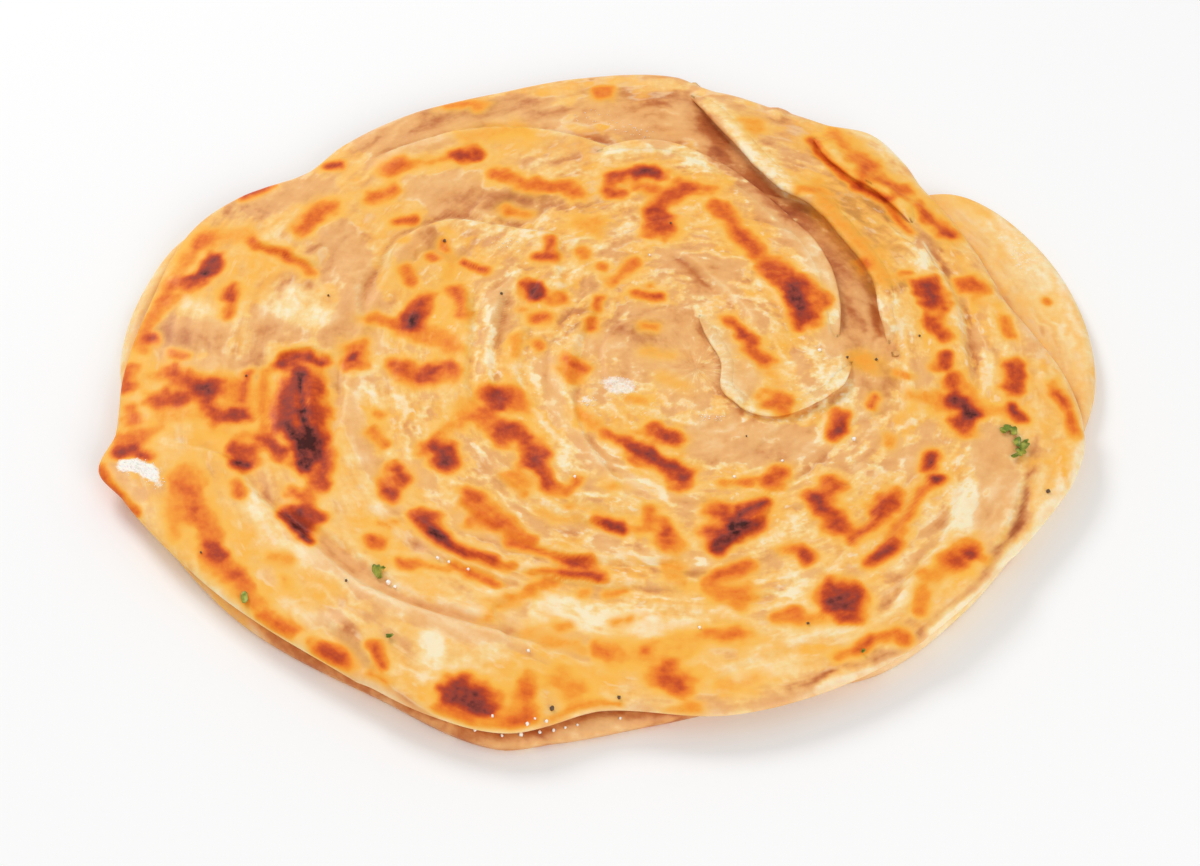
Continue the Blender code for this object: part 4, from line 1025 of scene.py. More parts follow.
def lower_masks(points):
    """Masks for the lower turn: pale and smooth, palest at its rim and at the left, painted paler
    along the front right as if lit there, with painted shade just outside the upper turn's edge,
    and the base's masks underneath."""
    x, y, z = points.T
    level = dict.fromkeys(("edge", "foot_shade", "proud", "side"), np.zeros(len(points)))
    out = np.hypot(x, y) - closed_curve(UPPER_EDGE, np.degrees(np.arctan2(y, x)) % 360.0)
    rim = smooth_step((out - 4.0) / 4.0)
    # Painted shade just outside the upper turn's edge: a narrow band all round, and a broader, fainter one
    # towards the back.
    shaded = np.exp(-np.maximum(out, 0.0) / 1.3)
    broad_shade = np.exp(-np.maximum(out, 0.0) / 6.0) * smooth_step(y / 20.0)
    # The painted shade is deeper at the front, under the upper turn's lip; at the front right the side is
    # painted paler and its shade weaker, as if lit.
    front = smooth_step((-y - 55.0) / 12.0)
    right = smooth_step((x - 28.0) / 24.0) * smooth_step((-y - 8.0) / 16.0)
    left = smooth_step((-x - 60.0) / 20.0)
    patches = rough_noise(x, y, 7.0, 76)
    pale = 0.74 + 0.12 * front + 0.28 * right + 0.25 * left
    pale = pale + 0.08 * rough_noise(x, y, 9.0, 77) + 0.18 * rim - 0.16 * broad_shade
    toast = 0.22 + 0.15 * patches + 0.1 * smooth_step((out - 3.0) / 4.0)
    masks = {
        "browning": browned(*mark_place(points), LOWER_MARKS, np.zeros(len(points))),
        "toast": toast - 0.4 * front - 0.4 * right,
        "crust": 0.58 + 0.12 * patches + 0.1 * rim - 0.30 * front,
        "tone": pale - (0.38 + 0.17 * front - 0.34 * right) * shaded,
        "flour": crust_marks(points, level)["flour"] * smooth_step(x / 10.0),
        "flaky": np.full(len(points), 0.22),
    }
    under = smooth_step((0.9 - z) / 0.9)
    base = base_masks(x, y)
    return {key: np.clip(masks[key] * (1.0 - under) + base[key] * under, 0.0, 1.0) for key in masks}


def lower_turn():
    """The pale turn below: rings from the middle out over a flat shelf, round the rim and
    back under, closed by a disc grid over the flat base."""
    share, turned = (values.ravel() for values in disc_places(BASE_CELLS))
    border = square_border(BASE_CELLS)
    rings = lower_rings(turned[border])
    shell = np.concatenate([ring_at(radius, turned[border], height) for radius, height in rings])
    reach = share * (closed_curve(LOWER_EDGE, turned) - BASE_INSET)
    base = ring_at(reach, turned, np.zeros_like(reach))
    points = np.concatenate([shell, base, [(0.0, 0.0, SHELF_HEIGHT)]])
    ring_index = np.arange(len(shell)).reshape(len(rings), len(border))
    base_index = len(shell) + np.arange(len(base)).reshape(BASE_CELLS + 1, BASE_CELLS + 1)
    quads = np.concatenate([
        wrapped_quads(np.concatenate([ring_index, len(shell) + border[None]])),
        grid_quads(base_index)[:, ::-1],
    ])
    fan = fan_to(ring_index[0], len(points) - 1)
    points = inside_box(points)
    return mesh_object("lower_turn", points, quads, fan, lower_masks(points))


def griddle_spots(count, seed):
    """Browned marks strewn over the base: their places follow a sunflower's spiral, loosened
    by chance, and each is a short stroke across the way from the middle."""
    chance = scatter(count, seed)
    order = np.arange(count)
    away = BASE_SPOT_REACH * np.sqrt((order + 0.5) / count) * (0.94 + 0.1 * chance[:, 0])
    turn = SUNFLOWER_TURN * order + 0.5 * chance[:, 1]
    half = 1.0 + 3.5 * chance[:, 2] ** 2
    across = turn + 0.5 * np.pi + 0.8 * (chance[:, 3] - 0.5)
    middle = np.stack([away * np.cos(turn), away * np.sin(turn)], axis=1)
    reach = np.stack([half * np.cos(across), half * np.sin(across)], axis=1)
    strength = 0.35 + 0.55 * chance[:, 3]
    width = 1.2 + 5.0 * chance[:, 0] * chance[:, 1]
    return list(zip(strength, width, middle - reach, middle + reach))


# ---------------------------------------------------------------- toppings

# Chopped leaf: (place as a mark, length, width, turn in degrees).
LEAF_BITS = (
    (75.2, -1.0, 2.6, 1.5, 10), (76.4, -1.9, 2.0, 1.4, 70), (74.4, -1.8, 1.4, 1.0, 150),
    (76.9, -4.4, 2.4, 1.6, 100), (77.9, -5.6, 2.2, 1.5, 20), (77.2, -6.8, 2.0, 1.6, 130),
    (76.3, -7.8, 1.8, 0.9, 30), (78.4, -4.3, 1.3, 0.9, 60), (-39.6, -34.4, 2.2, 1.4, 110),
    (-39.2, -36.0, 1.3, 0.9, 60), (-63.0, -40.6, 2.4, 1.7, 80), (-36.9, -49.2, 1.3, 0.8, 20),
    (-38.6, -34.0, 0.9, 0.6, 0), (46.0, -52.8, 0.9, 0.5, 40),
)
# Ground pepper and charred specks: (place as a mark, width).
PEPPER_SPECKS = (
    (81.7, -16.0, 1.0), (-45.0, -36.5, 0.7), (-8.3, -65.0, 1.4), (3.3, -62.5, 1.0), (46.5, 17.0, 0.8),
    (52.0, 16.5, 0.8), (-30.2, 47.6, 0.9), (13.8, 52.4, 0.7), (-66.3, 12.4, 0.6), (36.6, -46.2, 0.7),
    (-18.8, 33.6, 0.7), (27.0, -2.6, 0.5), (-52.0, 33.0, 0.6), (60.4, 22.5, 0.6), (-71.5, -30.2, 0.6),
)
# Salt: (place as a mark, width).
SALT_CRYSTALS = (
    (-12.5, -68.2, 1.0), (-9.2, -67.6, 0.8), (-29.0, -31.0, 0.9), (-27.0, -32.0, 0.7),
    (-23.5, -34.0, 0.8), (-12.5, -52.2, 0.8), (-37.6, -37.2, 1.2), (-36.4, -38.0, 0.9),
    (-18.5, -66.4, 0.7), (-11.2, -67.0, 0.6), (17.5, -47.2, 0.8), (24.5, -12.4, 0.7),
    (33.4, -8.6, 0.7), (46.8, -3.4, 0.9), (-4.6, -12.4, 0.7), (9.6, 43.8, 0.6), (41.4, 18.8, 0.9),
)
# Salt on the lower turn's edge at the front, in the bread's frame: (x, y, width). It is laid
# EDGE_SALT_BACK further in and sunk by EDGE_SALT_SUNK.
EDGE_SALT_BACK = 1.6
EDGE_SALT_SUNK = 0.2
EDGE_SALT = (
    (-14.6, -83.4, 1.0), (-11.4, -82.9, 0.8), (-9.0, -82.5, 0.9), (-17.9, -83.6, 0.7), (-7.0, -81.9, 0.7),
    (-22.6, -82.4, 0.7), (-12.8, -81.6, 0.6), (-4.9, -81.3, 0.6), (-27.5, -80.2, 0.6), (2.5, -79.9, 0.6),
)


def under_marks(marks):
    """Places on the skin that lie under marks: the skin's height and the lean are matched in
    a few rounds."""
    x = marks[:, 0] + MARK_ORIGIN[0]
    z = np.full(len(marks), TOP_HEIGHT)
    for _ in range(6):
        y = marks[:, 1] + MARK_ORIGIN[1] - MARK_LEAN * (z - MARK_PLANE)
        z = skin(x, y)["height"]
    return np.stack([x, y, z], axis=1)


def scatter(count, seed):
    """Fixed pseudo-random values from 0 to 1, as rows of four."""
    row = np.arange(count)
    return np.stack([lattice(row, row * 7 + k, seed + k) for k in range(4)], axis=1)


def drifts(marks, each, spread, seed):
    """Places strewn round the marks' lines: each mark gets the given number, at an even
    share along it and off it by two summed random steps."""
    places = []
    for number, (strength, width, *points) in enumerate(marks):
        chance = scatter(max(1, int(each * strength * width)), seed + 11 * number)
        line = open_curve(points)
        along = chance[:, 0] * (len(line) - 1)
        x = np.interp(along, np.arange(len(line)), line[:, 0])
        y = np.interp(along, np.arange(len(line)), line[:, 1])
        away = spread * (0.5 * width + 0.6) * np.sqrt(chance[:, 1])
        turn = 2.0 * np.pi * chance[:, 2]
        places.append(np.stack([x + away * np.cos(turn), y + away * np.sin(turn)], axis=1))
    return np.concatenate(places)


def squared(value, squareness):
    """A cosine or sine raised to squareness, with its sign kept."""
    return np.sign(value) * np.abs(value) ** squareness


def lumps(name, centres, widths, squareness, uneven, seed, spokes=8, rings=5):
    """Many small grains in one mesh. Each is a closed ball of rings and spokes whose cosines
    and sines are raised to squareness, so that it runs from round at 1 to a rounded cube near
    0.4; its radius is made uneven by noise, it is turned about Z and sits on its place."""
    count = len(centres)
    tilt = np.linspace(0.0, np.pi, rings + 2)[1:-1]
    turn = np.arange(spokes) * 2.0 * np.pi / spokes
    ring = squared(np.sin(tilt), squareness)[:, None]
    ball = np.stack([
        ring * squared(np.cos(turn), squareness),
        ring * squared(np.sin(turn), squareness),
        np.repeat(squared(np.cos(tilt), squareness)[:, None], spokes, axis=1),
    ], axis=-1).reshape(-1, 3)
    ball = np.concatenate([ball, [(0, 0, 1), (0, 0, -1)]])
    each = np.arange(count)[:, None]
    rough = 1.0 + uneven * (2.0 * lattice(each * 31, np.arange(len(ball))[None, :], seed) - 1.0)
    chance = scatter(count, seed)
    stretch = 0.5 * np.asarray(widths)[:, None] * (0.8 + 0.4 * chance[:, :3])
    body = ball[None] * rough[:, :, None] * stretch[:, None, :]
    angle = 2.0 * np.pi * chance[:, 3]
    cosine, sine = np.cos(angle)[:, None], np.sin(angle)[:, None]
    x = body[:, :, 0] * cosine - body[:, :, 1] * sine
    y = body[:, :, 0] * sine + body[:, :, 1] * cosine
    z = body[:, :, 2] + 0.7 * stretch[:, 2:3]
    points = np.stack([x, y, z], axis=2) + np.asarray(centres)[:, None, :]
    index = np.arange(rings * spokes).reshape(rings, spokes)
    quads = wrapped_quads(index)
    top, base = rings * spokes, rings * spokes + 1
    fans = np.concatenate([fan_to(index[0], top), fan_to(index[-1], base, turned=True)])
    step = (np.arange(count) * len(ball))[:, None, None]
    return mesh_object(name, inside_box(points.reshape(-1, 3)), (quads + step).reshape(-1, 4),
                       (fans + step).reshape(-1, 3))


def thin_bits(name, bits, thickness, lobed, curl, seed, spokes=20, rings=4):
    """Many thin bits in one mesh, each a flat lens that drapes over the skin. Its outline is
    an ellipse whose radius swings with lobed round it; its faces lie thickness apart in the
    middle and meet at the outline, and it curls up with the square of the distance from its
    middle. bits holds rows of mark x, mark y, length, width and turn in degrees."""
    bits = np.asarray(bits, float)
    count = len(bits)
    places = under_marks(bits[:, :2])
    turn = np.arange(spokes) * 2.0 * np.pi / spokes
    share = (np.arange(rings) + 1.0) / rings
    each = np.arange(count)[:, None]
    swing = 1.0 + lobed * (2.0 * lattice(each, np.arange(spokes)[None, :], seed) - 1.0)
    swing = 0.25 * np.roll(swing, 1, axis=1) + 0.5 * swing + 0.25 * np.roll(swing, -1, axis=1)
    along = 0.5 * bits[:, 2, None, None] * share[:, None] * (np.cos(turn) * swing)[:, None, :]
    across = 0.5 * bits[:, 3, None, None] * share[:, None] * (np.sin(turn) * swing)[:, None, :]
    angle = np.radians(bits[:, 4])[:, None, None]
    x = places[:, 0, None, None] + along * np.cos(angle) - across * np.sin(angle)
    y = places[:, 1, None, None] + along * np.sin(angle) + across * np.cos(angle)
    x = np.concatenate([places[:, 0, None], x.reshape(count, -1)], axis=1)
    y = np.concatenate([places[:, 1, None], y.reshape(count, -1)], axis=1)
    z = skin(x.ravel(), y.ravel())["height"].reshape(count, -1)
    reach = np.concatenate([[0.0], np.repeat(share, spokes)])
    rise = curl * reach**2 * (0.6 + 0.8 * lattice(each, each * 3, seed + 5))
    bulge = 0.5 * thickness * (1.0 - reach**2)
    upper = np.stack([x, y, z + 0.04 + thickness + rise + bulge], axis=2)
    under = np.stack([x, y, z + 0.04 + thickness + rise - bulge], axis=2)[:, : -spokes]
    points = np.concatenate([upper, under], axis=1)
    index = 1 + np.arange(rings * spokes).reshape(rings, spokes)
    base = 1 + rings * spokes
    below = base + 1 + np.arange((rings - 1) * spokes).reshape(rings - 1, spokes)
    under_rings = np.concatenate([below, index[-1:]])
    quads = np.concatenate([wrapped_quads(index), wrapped_quads(under_rings[::-1])])
    fans = np.concatenate([fan_to(index[0], 0), fan_to(below[0], base, turned=True)])
    step = (np.arange(count) * points.shape[1])[:, None, None]
    return mesh_object(name, inside_box(points.reshape(-1, 3)), (quads + step).reshape(-1, 4),
                       (fans + step).reshape(-1, 3))


def leaf_flecks():
    """Chopped leaf as thin lobed bits that curl up at their edges."""
    return thin_bits("leaf_flecks", LEAF_BITS, 0.16, 0.5, 0.5, 301)


def pepper_specks():
    """Coarse pepper and charred crumbs as uneven lumps."""
    specks = np.array(PEPPER_SPECKS)
    return lumps("pepper_specks", under_marks(specks[:, :2]), 0.65 * specks[:, 2], 0.9, 0.25, 311)


def salt_crystals():
    """Salt as rounded cubes, on the skin and on the lower turn's front edge."""
    salt, edge = np.array(SALT_CRYSTALS), np.array(EDGE_SALT)
    height = np.full(len(edge), PLY_THICKNESS - EDGE_SALT_SUNK)
    edge_places = np.column_stack([edge[:, 0], edge[:, 1] + EDGE_SALT_BACK, height])
    places = np.concatenate([under_marks(salt[:, :2]), edge_places])
    return lumps("salt_crystals", places, 0.6 * np.concatenate([salt[:, 2], edge[:, 2]]), 0.4, 0.1, 321)


def flour_grains():
    """Flour as tiny uneven lumps, thickest where it was left on the crust."""
    places = under_marks(drifts(FLOUR, 40, 1.0, 331))
    widths = 0.10 + 0.16 * scatter(len(places), 341)[:, 0] ** 2
    return lumps("flour_grains", places, widths, 0.9, 0.3, 351, spokes=5, rings=3)


# ---------------------------------------------------------------- materials


def linear(red, green, blue):
    """A colour given in 0-255 screen values as linear light, with full alpha."""
    channels = np.array([red, green, blue]) / 255.0
    low, high = channels / 12.92, ((channels + 0.055) / 1.055) ** 2.4
    return (*np.where(channels <= 0.04045, low, high).tolist(), 1.0)


# Tone ramps for dry and for damp dough. Their darkest stops are reached where painted shade lowers the
# tone: in the valleys, at the feet of folds, under lips and just outside the upper turn's edge.
TONE_STOPS = (
    (0.00, linear(170, 84, 42)),
    (0.18, linear(204, 118, 62)),
    (0.36, linear(228, 156, 90)),
    (0.55, linear(241, 184, 108)),
    (0.72, linear(249, 205, 134)),
    (0.88, linear(252, 221, 162)),
    (1.00, linear(253, 234, 196)),
)
DAMP_STOPS = (
    (0.00, linear(166, 82, 44)),
    (0.25, linear(198, 116, 64)),
    (0.50, linear(230, 166, 104)),
    (0.72, linear(240, 185, 122)),
    (1.00, linear(248, 212, 162)),
)
BROWNING_STOPS = (
    (0.00, linear(253, 206, 112)),
    (0.18, linear(252, 186, 72)),
    (0.33, linear(246, 154, 48)),
    (0.47, linear(234, 118, 34)),
    (0.60, linear(208, 84, 30)),
    (0.72, linear(178, 64, 34)),
    (0.84, linear(146, 60, 48)),
    (0.94, linear(108, 42, 36)),
    (1.00, linear(70, 22, 18)),
)

# The masks that the dough's colour is worked out from, with the values they start at.
DOUGH_MASKS = (
    ("browning", 0.0),
    ("toast", 0.0),
    ("crust", 0.6),
    ("tone", 0.5),
    ("flour", 0.0),
    ("flaky", 1.0),
)

GOLDEN_SKIN = linear(252, 184, 76)
FLAKE = linear(253, 236, 202)
FLOUR_WHITE = linear(252, 246, 236)


def new_group(name, inputs, outputs):
    """An empty shader node group with float inputs and named outputs."""
    group = bpy.data.node_groups.new(name, "ShaderNodeTree")
    for label, value in inputs:
        socket = group.interface.new_socket(label, in_out="INPUT", socket_type="NodeSocketFloat")
        socket.default_value = value
    for label, kind in outputs:
        group.interface.new_socket(label, in_out="OUTPUT", socket_type=kind)
    return group, group.nodes.new("NodeGroupInput"), group.nodes.new("NodeGroupOutput")


def math_node(tree, operation, first, second=None, clamp=False):
    """The output of a math node on one or two sockets or plain numbers."""
    node = tree.nodes.new("ShaderNodeMath")
    node.operation = operation
    node.use_clamp = clamp
    for socket, value in zip(node.inputs, (first, second)):
        if value is None:
            continue
        if isinstance(value, (int, float)):
            socket.default_value = value
        else:
            tree.links.new(value, socket)
    return node.outputs[0]


def mix_colour(tree, factor, first, second):
    """The first colour mixed with the second by the factor, each a socket or a plain value."""
    node = tree.nodes.new("ShaderNodeMix")
    node.data_type = "RGBA"
    for socket, value in zip((node.inputs[0], node.inputs[6], node.inputs[7]), (factor, first, second)):
        if isinstance(value, (tuple, float, int)):
            socket.default_value = value
        else:
            tree.links.new(value, socket)
    return node.outputs[2]


def noise_node(tree, coordinates, scale, detail):
    """Fractal noise from 0 to 1 at the coordinates."""
    node = tree.nodes.new("ShaderNodeTexNoise")
    node.inputs["Scale"].default_value = scale
    node.inputs["Detail"].default_value = detail
    tree.links.new(coordinates, node.inputs["Vector"])
    return node.outputs["Fac"]


def centred_noise(tree, coordinates, scale, detail):
    """Fractal noise less a half, so that it lies about 0."""
    return math_node(tree, "SUBTRACT", noise_node(tree, coordinates, scale, detail), 0.5)


def vector_node(tree, operation, first, second=None):
    """A vector math node on a socket and, where given, a second socket or plain vector."""
    node = tree.nodes.new("ShaderNodeVectorMath")
    node.operation = operation
    tree.links.new(first, node.inputs[0])
    if isinstance(second, tuple):
        node.inputs[1].default_value = second
    elif second is not None:
        tree.links.new(second, node.inputs[1])
    return node


def ramp_node(tree, factor, stops):
    """The colour that the stops give for the factor, straight between neighbours."""
    node = tree.nodes.new("ShaderNodeValToRGB")
    for _ in stops[2:]:
        node.color_ramp.elements.new(0.5)
    for element, (place, colour) in zip(node.color_ramp.elements, stops):
        element.position = place
        element.color = colour
    tree.links.new(factor, node.inputs["Fac"])
    return node.outputs["Color"]


def coil_place(tree, place, width, length):
    """Coordinates for a noise drawn out along the plies: the distance from the coil's eye in
    widths, and the direction from the eye as a point on a circle, in lengths."""
    away = vector_node(tree, "SUBTRACT", place, (COIL_EYE[0] * MM, COIL_EYE[1] * MM, 0.0))
    flat = vector_node(tree, "MULTIPLY", away.outputs["Vector"], (1.0, 1.0, 0.0)).outputs["Vector"]
    radius = vector_node(tree, "LENGTH", flat).outputs["Value"]
    heading = vector_node(tree, "NORMALIZE", flat).outputs["Vector"]
    turned = vector_node(tree, "SCALE", heading)
    turned.inputs["Scale"].default_value = GRAIN_RADIUS / length
    lifted = tree.nodes.new("ShaderNodeCombineXYZ")
    tree.links.new(math_node(tree, "MULTIPLY", radius, 1.0 / (width * MM)), lifted.inputs["Z"])
    joined = vector_node(tree, "ADD", turned.outputs["Vector"], lifted.outputs["Vector"])
    return joined.outputs["Vector"]


def ply_wave(tree, place, unevenness):
    """A wave from -1 to 1 outwards across each thin ply: the sine of a full turn times the
    distance from the coil's eye in plies, plus the angle as a share of a turn, plus an
    unevenness."""
    parts = tree.nodes.new("ShaderNodeSeparateXYZ")
    tree.links.new(place, parts.inputs["Vector"])
    away_x = math_node(tree, "SUBTRACT", parts.outputs["X"], COIL_EYE[0] * MM)
    away_y = math_node(tree, "SUBTRACT", parts.outputs["Y"], COIL_EYE[1] * MM)
    squares = math_node(tree, "ADD", math_node(tree, "MULTIPLY", away_x, away_x),
                        math_node(tree, "MULTIPLY", away_y, away_y))
    radius = math_node(tree, "SQRT", squares)
    turn = math_node(tree, "ARCTAN2", away_y, away_x)
    phase = weighted_sum(tree, (radius, 1.0 / (THIN_PLY * MM)), (turn, 0.5 / math.pi), unevenness)
    return math_node(tree, "SINE", math_node(tree, "MULTIPLY", phase, 2.0 * math.pi))


def eased_node(tree, value, low, high):
    """Eases from 0 to 1 as the value goes from low to high."""
    node = tree.nodes.new("ShaderNodeMapRange")
    node.interpolation_type = "SMOOTHSTEP"
    node.inputs["From Min"].default_value = low
    node.inputs["From Max"].default_value = high
    tree.links.new(value, node.inputs["Value"])
    return node.outputs["Result"]


def weighted_sum(tree, *terms):
    """The sum of sockets times weights; a term without a weight is a plain number."""
    total = None
    for term in terms:
        part = math_node(tree, "MULTIPLY", *term) if isinstance(term, tuple) else term
        total = part if total is None else math_node(tree, "ADD", total, part)
    return total


def dough_grain(tree, place):
    """The dough's noises, each about 0. Speckle, mottle, fine and broad are the same in all
    directions, streak and band are drawn out along the plies, and layers is the wave across
    the thin plies, which shows only in broad patches."""
    speckle = centred_noise(tree, place, 800.0, 3.0)
    mottle = centred_noise(tree, place, 330.0, 3.0)
    fine = centred_noise(tree, place, 2600.0, 2.0)
    broad = centred_noise(tree, place, 95.0, 3.0)
    streak = centred_noise(tree, coil_place(tree, place, 1.3, 3.4), 1.0, 3.0)
    band = centred_noise(tree, coil_place(tree, place, 2.6, 9.0), 1.0, 2.0)
    wave = ply_wave(tree, place, weighted_sum(tree, (broad, 4.0), (mottle, 0.7)))
    layered = eased_node(tree, noise_node(tree, place, 120.0, 1.0), 0.40, 0.60)
    layers = math_node(tree, "MULTIPLY", math_node(tree, "MULTIPLY", wave, 0.22), layered)
    return speckle, mottle, fine, broad, streak, band, layers


def griddled_dough():
    """Node group: colour, roughness and height of griddled dough from its masks. Dry crust
    stands in crisp-edged patches, flaked and speckled, over smooth damp dough."""
    group, source, result = new_group(
        "griddled_dough",
        [(mask.title(), value) for mask, value in DOUGH_MASKS],
        [("Color", "NodeSocketColor"), ("Roughness", "NodeSocketFloat"), ("Height", "NodeSocketFloat")],
    )
    browning, toast, crust, tone, flour, flaky = (source.outputs[mask.title()] for mask, _ in DOUGH_MASKS)
    place = group.nodes.new("ShaderNodeTexCoord").outputs["Object"]
    speckle, mottle, fine, broad, streak, band, layers = dough_grain(group, place)
    texture = weighted_sum(group, (mottle, 1.2), (streak, 0.9), (band, 0.9), (speckle, 0.4),
                           (broad, 0.6), (layers, 1.0))
    field = math_node(group, "ADD", crust, math_node(group, "MULTIPLY", texture, flaky))
    cover = eased_node(group, field, 0.26, 0.66)
    border = math_node(group, "MULTIPLY", cover, math_node(group, "SUBTRACT", 1.0, cover))
    lively = weighted_sum(group, (streak, 0.8), (speckle, 0.7), (mottle, 0.85), (band, 0.6), layers)
    lively = math_node(group, "MULTIPLY", lively, flaky)
    dry_tone = math_node(group, "ADD", tone, lively, clamp=True)
    damp_tone = weighted_sum(group, tone, (mottle, 0.35), (streak, 0.25), (speckle, 0.25), (band, 0.3),
                             (broad, 0.3), (layers, 0.4), 0.02)
    warm = weighted_sum(group, toast, (mottle, 1.6), (broad, 1.4), (band, 0.7), (speckle, -0.5),
                        (layers, -0.9))
    gilded = mix_colour(group, math_node(group, "MULTIPLY", warm, 0.85, clamp=True),
                        ramp_node(group, dry_tone, TONE_STOPS), GOLDEN_SKIN)
    crisp = math_node(group, "MULTIPLY", border, eased_node(group, band, -0.02, 0.12))
    gilded = mix_colour(group, math_node(group, "MULTIPLY", crisp, 2.0, clamp=True), gilded, FLAKE)
    damp = mix_colour(group, math_node(group, "MULTIPLY", toast, 0.25, clamp=True),
                      ramp_node(group, damp_tone, DAMP_STOPS), GOLDEN_SKIN)
    colour = mix_colour(group, cover, damp, gilded)
    uneven = weighted_sum(group, 1.0, (speckle, 0.5), (streak, 0.35), (mottle, 0.3))
    browning = math_node(group, "MULTIPLY", browning, uneven, clamp=True)
    share = math_node(group, "MULTIPLY", browning, 3.6, clamp=True)
    colour = mix_colour(group, share, colour, ramp_node(group, browning, BROWNING_STOPS))
    flake = noise_node(group, coil_place(group, place, 1.5, 2.2), 1.0, 2.0)
    flake = math_node(group, "MULTIPLY", eased_node(group, flake, 0.60, 0.70), cover)
    flake = math_node(group, "MULTIPLY", flake, math_node(group, "SUBTRACT", flaky, share, clamp=True))
    colour = mix_colour(group, math_node(group, "MULTIPLY", flake, 0.52), colour, FLAKE)
    dusting = weighted_sum(group, (flour, 2.2), (speckle, 1.6), (fine, 1.2), -0.8)
    dusting = math_node(group, "MULTIPLY", dusting, 1.0, clamp=True)
    colour = mix_colour(group, dusting, colour, FLOUR_WHITE)
    group.links.new(colour, result.inputs["Color"])
    roughness = weighted_sum(group, 0.4, (cover, 0.18))
    group.links.new(roughness, result.inputs["Roughness"])
    height = weighted_sum(group, (cover, 0.2), (flake, 0.2), (lively, 0.5), (fine, 0.08))
    group.links.new(height, result.inputs["Height"])
    return group


def mask_node(tree, name):
    """The value of the named mask of the mesh."""
    node = tree.nodes.new("ShaderNodeAttribute")
    node.attribute_name = name
    return node.outputs["Fac"]


def dough_material(name, group):
    """Griddled dough: the node group fed with the mesh's masks, a fine bump, and a shader that
    lets a little light in under the surface."""
    material = bpy.data.materials.new(name)
    material.use_nodes = True
    tree = material.node_tree
    shader = tree.nodes["Principled BSDF"]
    look = tree.nodes.new("ShaderNodeGroup")
    look.node_tree = group
    for mask, _ in DOUGH_MASKS:
        tree.links.new(mask_node(tree, mask), look.inputs[mask.title()])
    bump = tree.nodes.new("ShaderNodeBump")
    bump.inputs["Strength"].default_value = 0.5
    bump.inputs["Distance"].default_value = 0.35 * MM
    tree.links.new(look.outputs["Height"], bump.inputs["Height"])
    tree.links.new(look.outputs["Color"], shader.inputs["Base Color"])
    tree.links.new(look.outputs["Roughness"], shader.inputs["Roughness"])
    tree.links.new(bump.outputs["Normal"], shader.inputs["Normal"])
    shader.inputs["IOR"].default_value = 1.45
    shader.inputs["Subsurface Weight"].default_value = 0.25
    shader.inputs["Subsurface Radius"].default_value = (1.0, 0.5, 0.2)
    shader.inputs["Subsurface Scale"].default_value = 1.6 * MM
    shader.inputs["Specular IOR Level"].default_value = 0.2
    return material


def leaf_material():
    """Dried leaf, from dark to light green in patches."""
    material = bpy.data.materials.new("chopped_leaf")
    material.use_nodes = True
    tree = material.node_tree
    shader = tree.nodes["Principled BSDF"]
    place = tree.nodes.new("ShaderNodeTexCoord").outputs["Object"]
    blend = eased_node(tree, noise_node(tree, place, 700.0, 2.0), 0.38, 0.62)
    green = mix_colour(tree, blend, linear(110, 132, 28), linear(176, 176, 66))
    tree.links.new(green, shader.inputs["Base Color"])
    shader.inputs["Roughness"].default_value = 0.5
    return material


def plain_material(name, colour, roughness):
    """One even colour with the given roughness."""
    material = bpy.data.materials.new(name)
    material.use_nodes = True
    shader = material.node_tree.nodes["Principled BSDF"]
    shader.inputs["Base Color"].default_value = colour
    shader.inputs["Roughness"].default_value = roughness
    return material


def dress(piece, material):
    """Gives a piece its material and ties it to the frame."""
    piece.data.materials.append(material)
    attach(piece, "root")
    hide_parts(NODE)


# ---------------------------------------------------------------- stage, light and camera

CAMERA_TARGET = (MARK_ORIGIN[0] * MM, MARK_ORIGIN[1] * MM, 4.0 * MM)
CAMERA_DISTANCE = 0.62
CAMERA_ELEVATION = 49.0
CAMERA_LENS = 100.0
SENSOR_WIDTH = 36.0
WORLD_STRENGTH = 0.62
FLOOR_REACH = 3.0


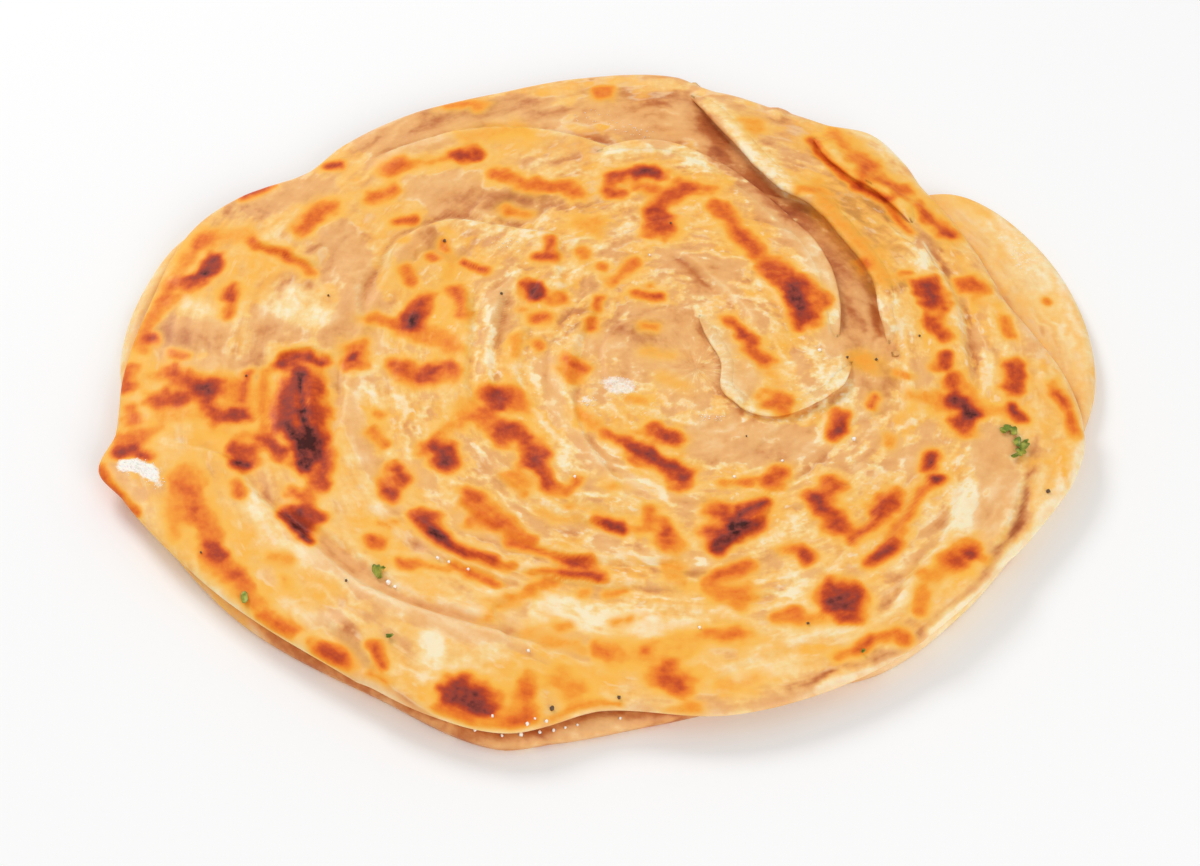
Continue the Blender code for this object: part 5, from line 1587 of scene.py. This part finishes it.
def make_floor():
    """A wide, near-white table top at height 0."""
    mesh = bpy.data.meshes.new("floor")
    corners = ((-1, -1), (1, -1), (1, 1), (-1, 1))
    mesh.from_pydata([(FLOOR_REACH * x, FLOOR_REACH * y, 0) for x, y in corners], [], [(0, 1, 2, 3)])
    floor = bpy.data.objects.new("floor", mesh)
    bpy.context.scene.collection.objects.link(floor)
    material = bpy.data.materials.new("floor")
    material.use_nodes = True
    shader = material.node_tree.nodes["Principled BSDF"]
    shader.inputs["Base Color"].default_value = (0.96, 0.96, 0.96, 1.0)
    shader.inputs["Roughness"].default_value = 0.9
    shader.inputs["Specular IOR Level"].default_value = 0.1
    mesh.materials.append(material)


def make_light(name, place, size, power):
    """A round area light that faces the middle of the bread's base."""
    light = bpy.data.lights.new(name, "AREA")
    light.shape = "DISK"
    light.size = size
    light.energy = power
    lamp = bpy.data.objects.new(name, light)
    lamp.location = place
    lamp.rotation_mode = "QUATERNION"
    lamp.rotation_quaternion = (-Vector(place)).to_track_quat("-Z", "Y")
    bpy.context.scene.collection.objects.link(lamp)


def make_camera():
    """A long lens looking down at the bread from the front."""
    lens = bpy.data.cameras.new("camera")
    lens.lens = CAMERA_LENS
    lens.sensor_width = SENSOR_WIDTH
    lens.clip_start = 0.01
    camera = bpy.data.objects.new("camera", lens)
    rise = math.radians(CAMERA_ELEVATION)
    back = Vector((0.0, -math.cos(rise), math.sin(rise)))
    camera.location = Vector(CAMERA_TARGET) + back * CAMERA_DISTANCE
    camera.rotation_mode = "QUATERNION"
    camera.rotation_quaternion = (-back).to_track_quat("-Z", "Y")
    bpy.context.scene.collection.objects.link(camera)
    bpy.context.scene.camera = camera


def make_world():
    """Even white light from all round."""
    world = bpy.data.worlds.new("studio")
    world.use_nodes = True
    background = world.node_tree.nodes["Background"]
    background.inputs["Color"].default_value = (1.0, 1.0, 1.0, 1.0)
    background.inputs["Strength"].default_value = WORLD_STRENGTH
    bpy.context.scene.world = world
    bpy.context.scene.view_settings.view_transform = "Standard"


make_camera()
make_world()
make_floor()
make_light("key", (-0.55, 0.75, 0.75), 0.45, 5.4)
make_light("fill", (0.45, -0.8, 0.6), 0.7, 3.6)

group = griddled_dough()
griddled = dough_material("griddled_crust", group)
dress(upper_turn(), griddled)
dress(ply_lips(), griddled)
dress(lower_turn(), griddled)
dress(leaf_flecks(), leaf_material())
dress(pepper_specks(), plain_material("ground_pepper", linear(104, 82, 62), 0.8))
dress(salt_crystals(), plain_material("salt", linear(250, 246, 238), 0.25))
dress(flour_grains(), plain_material("flour", linear(252, 247, 238), 0.9))
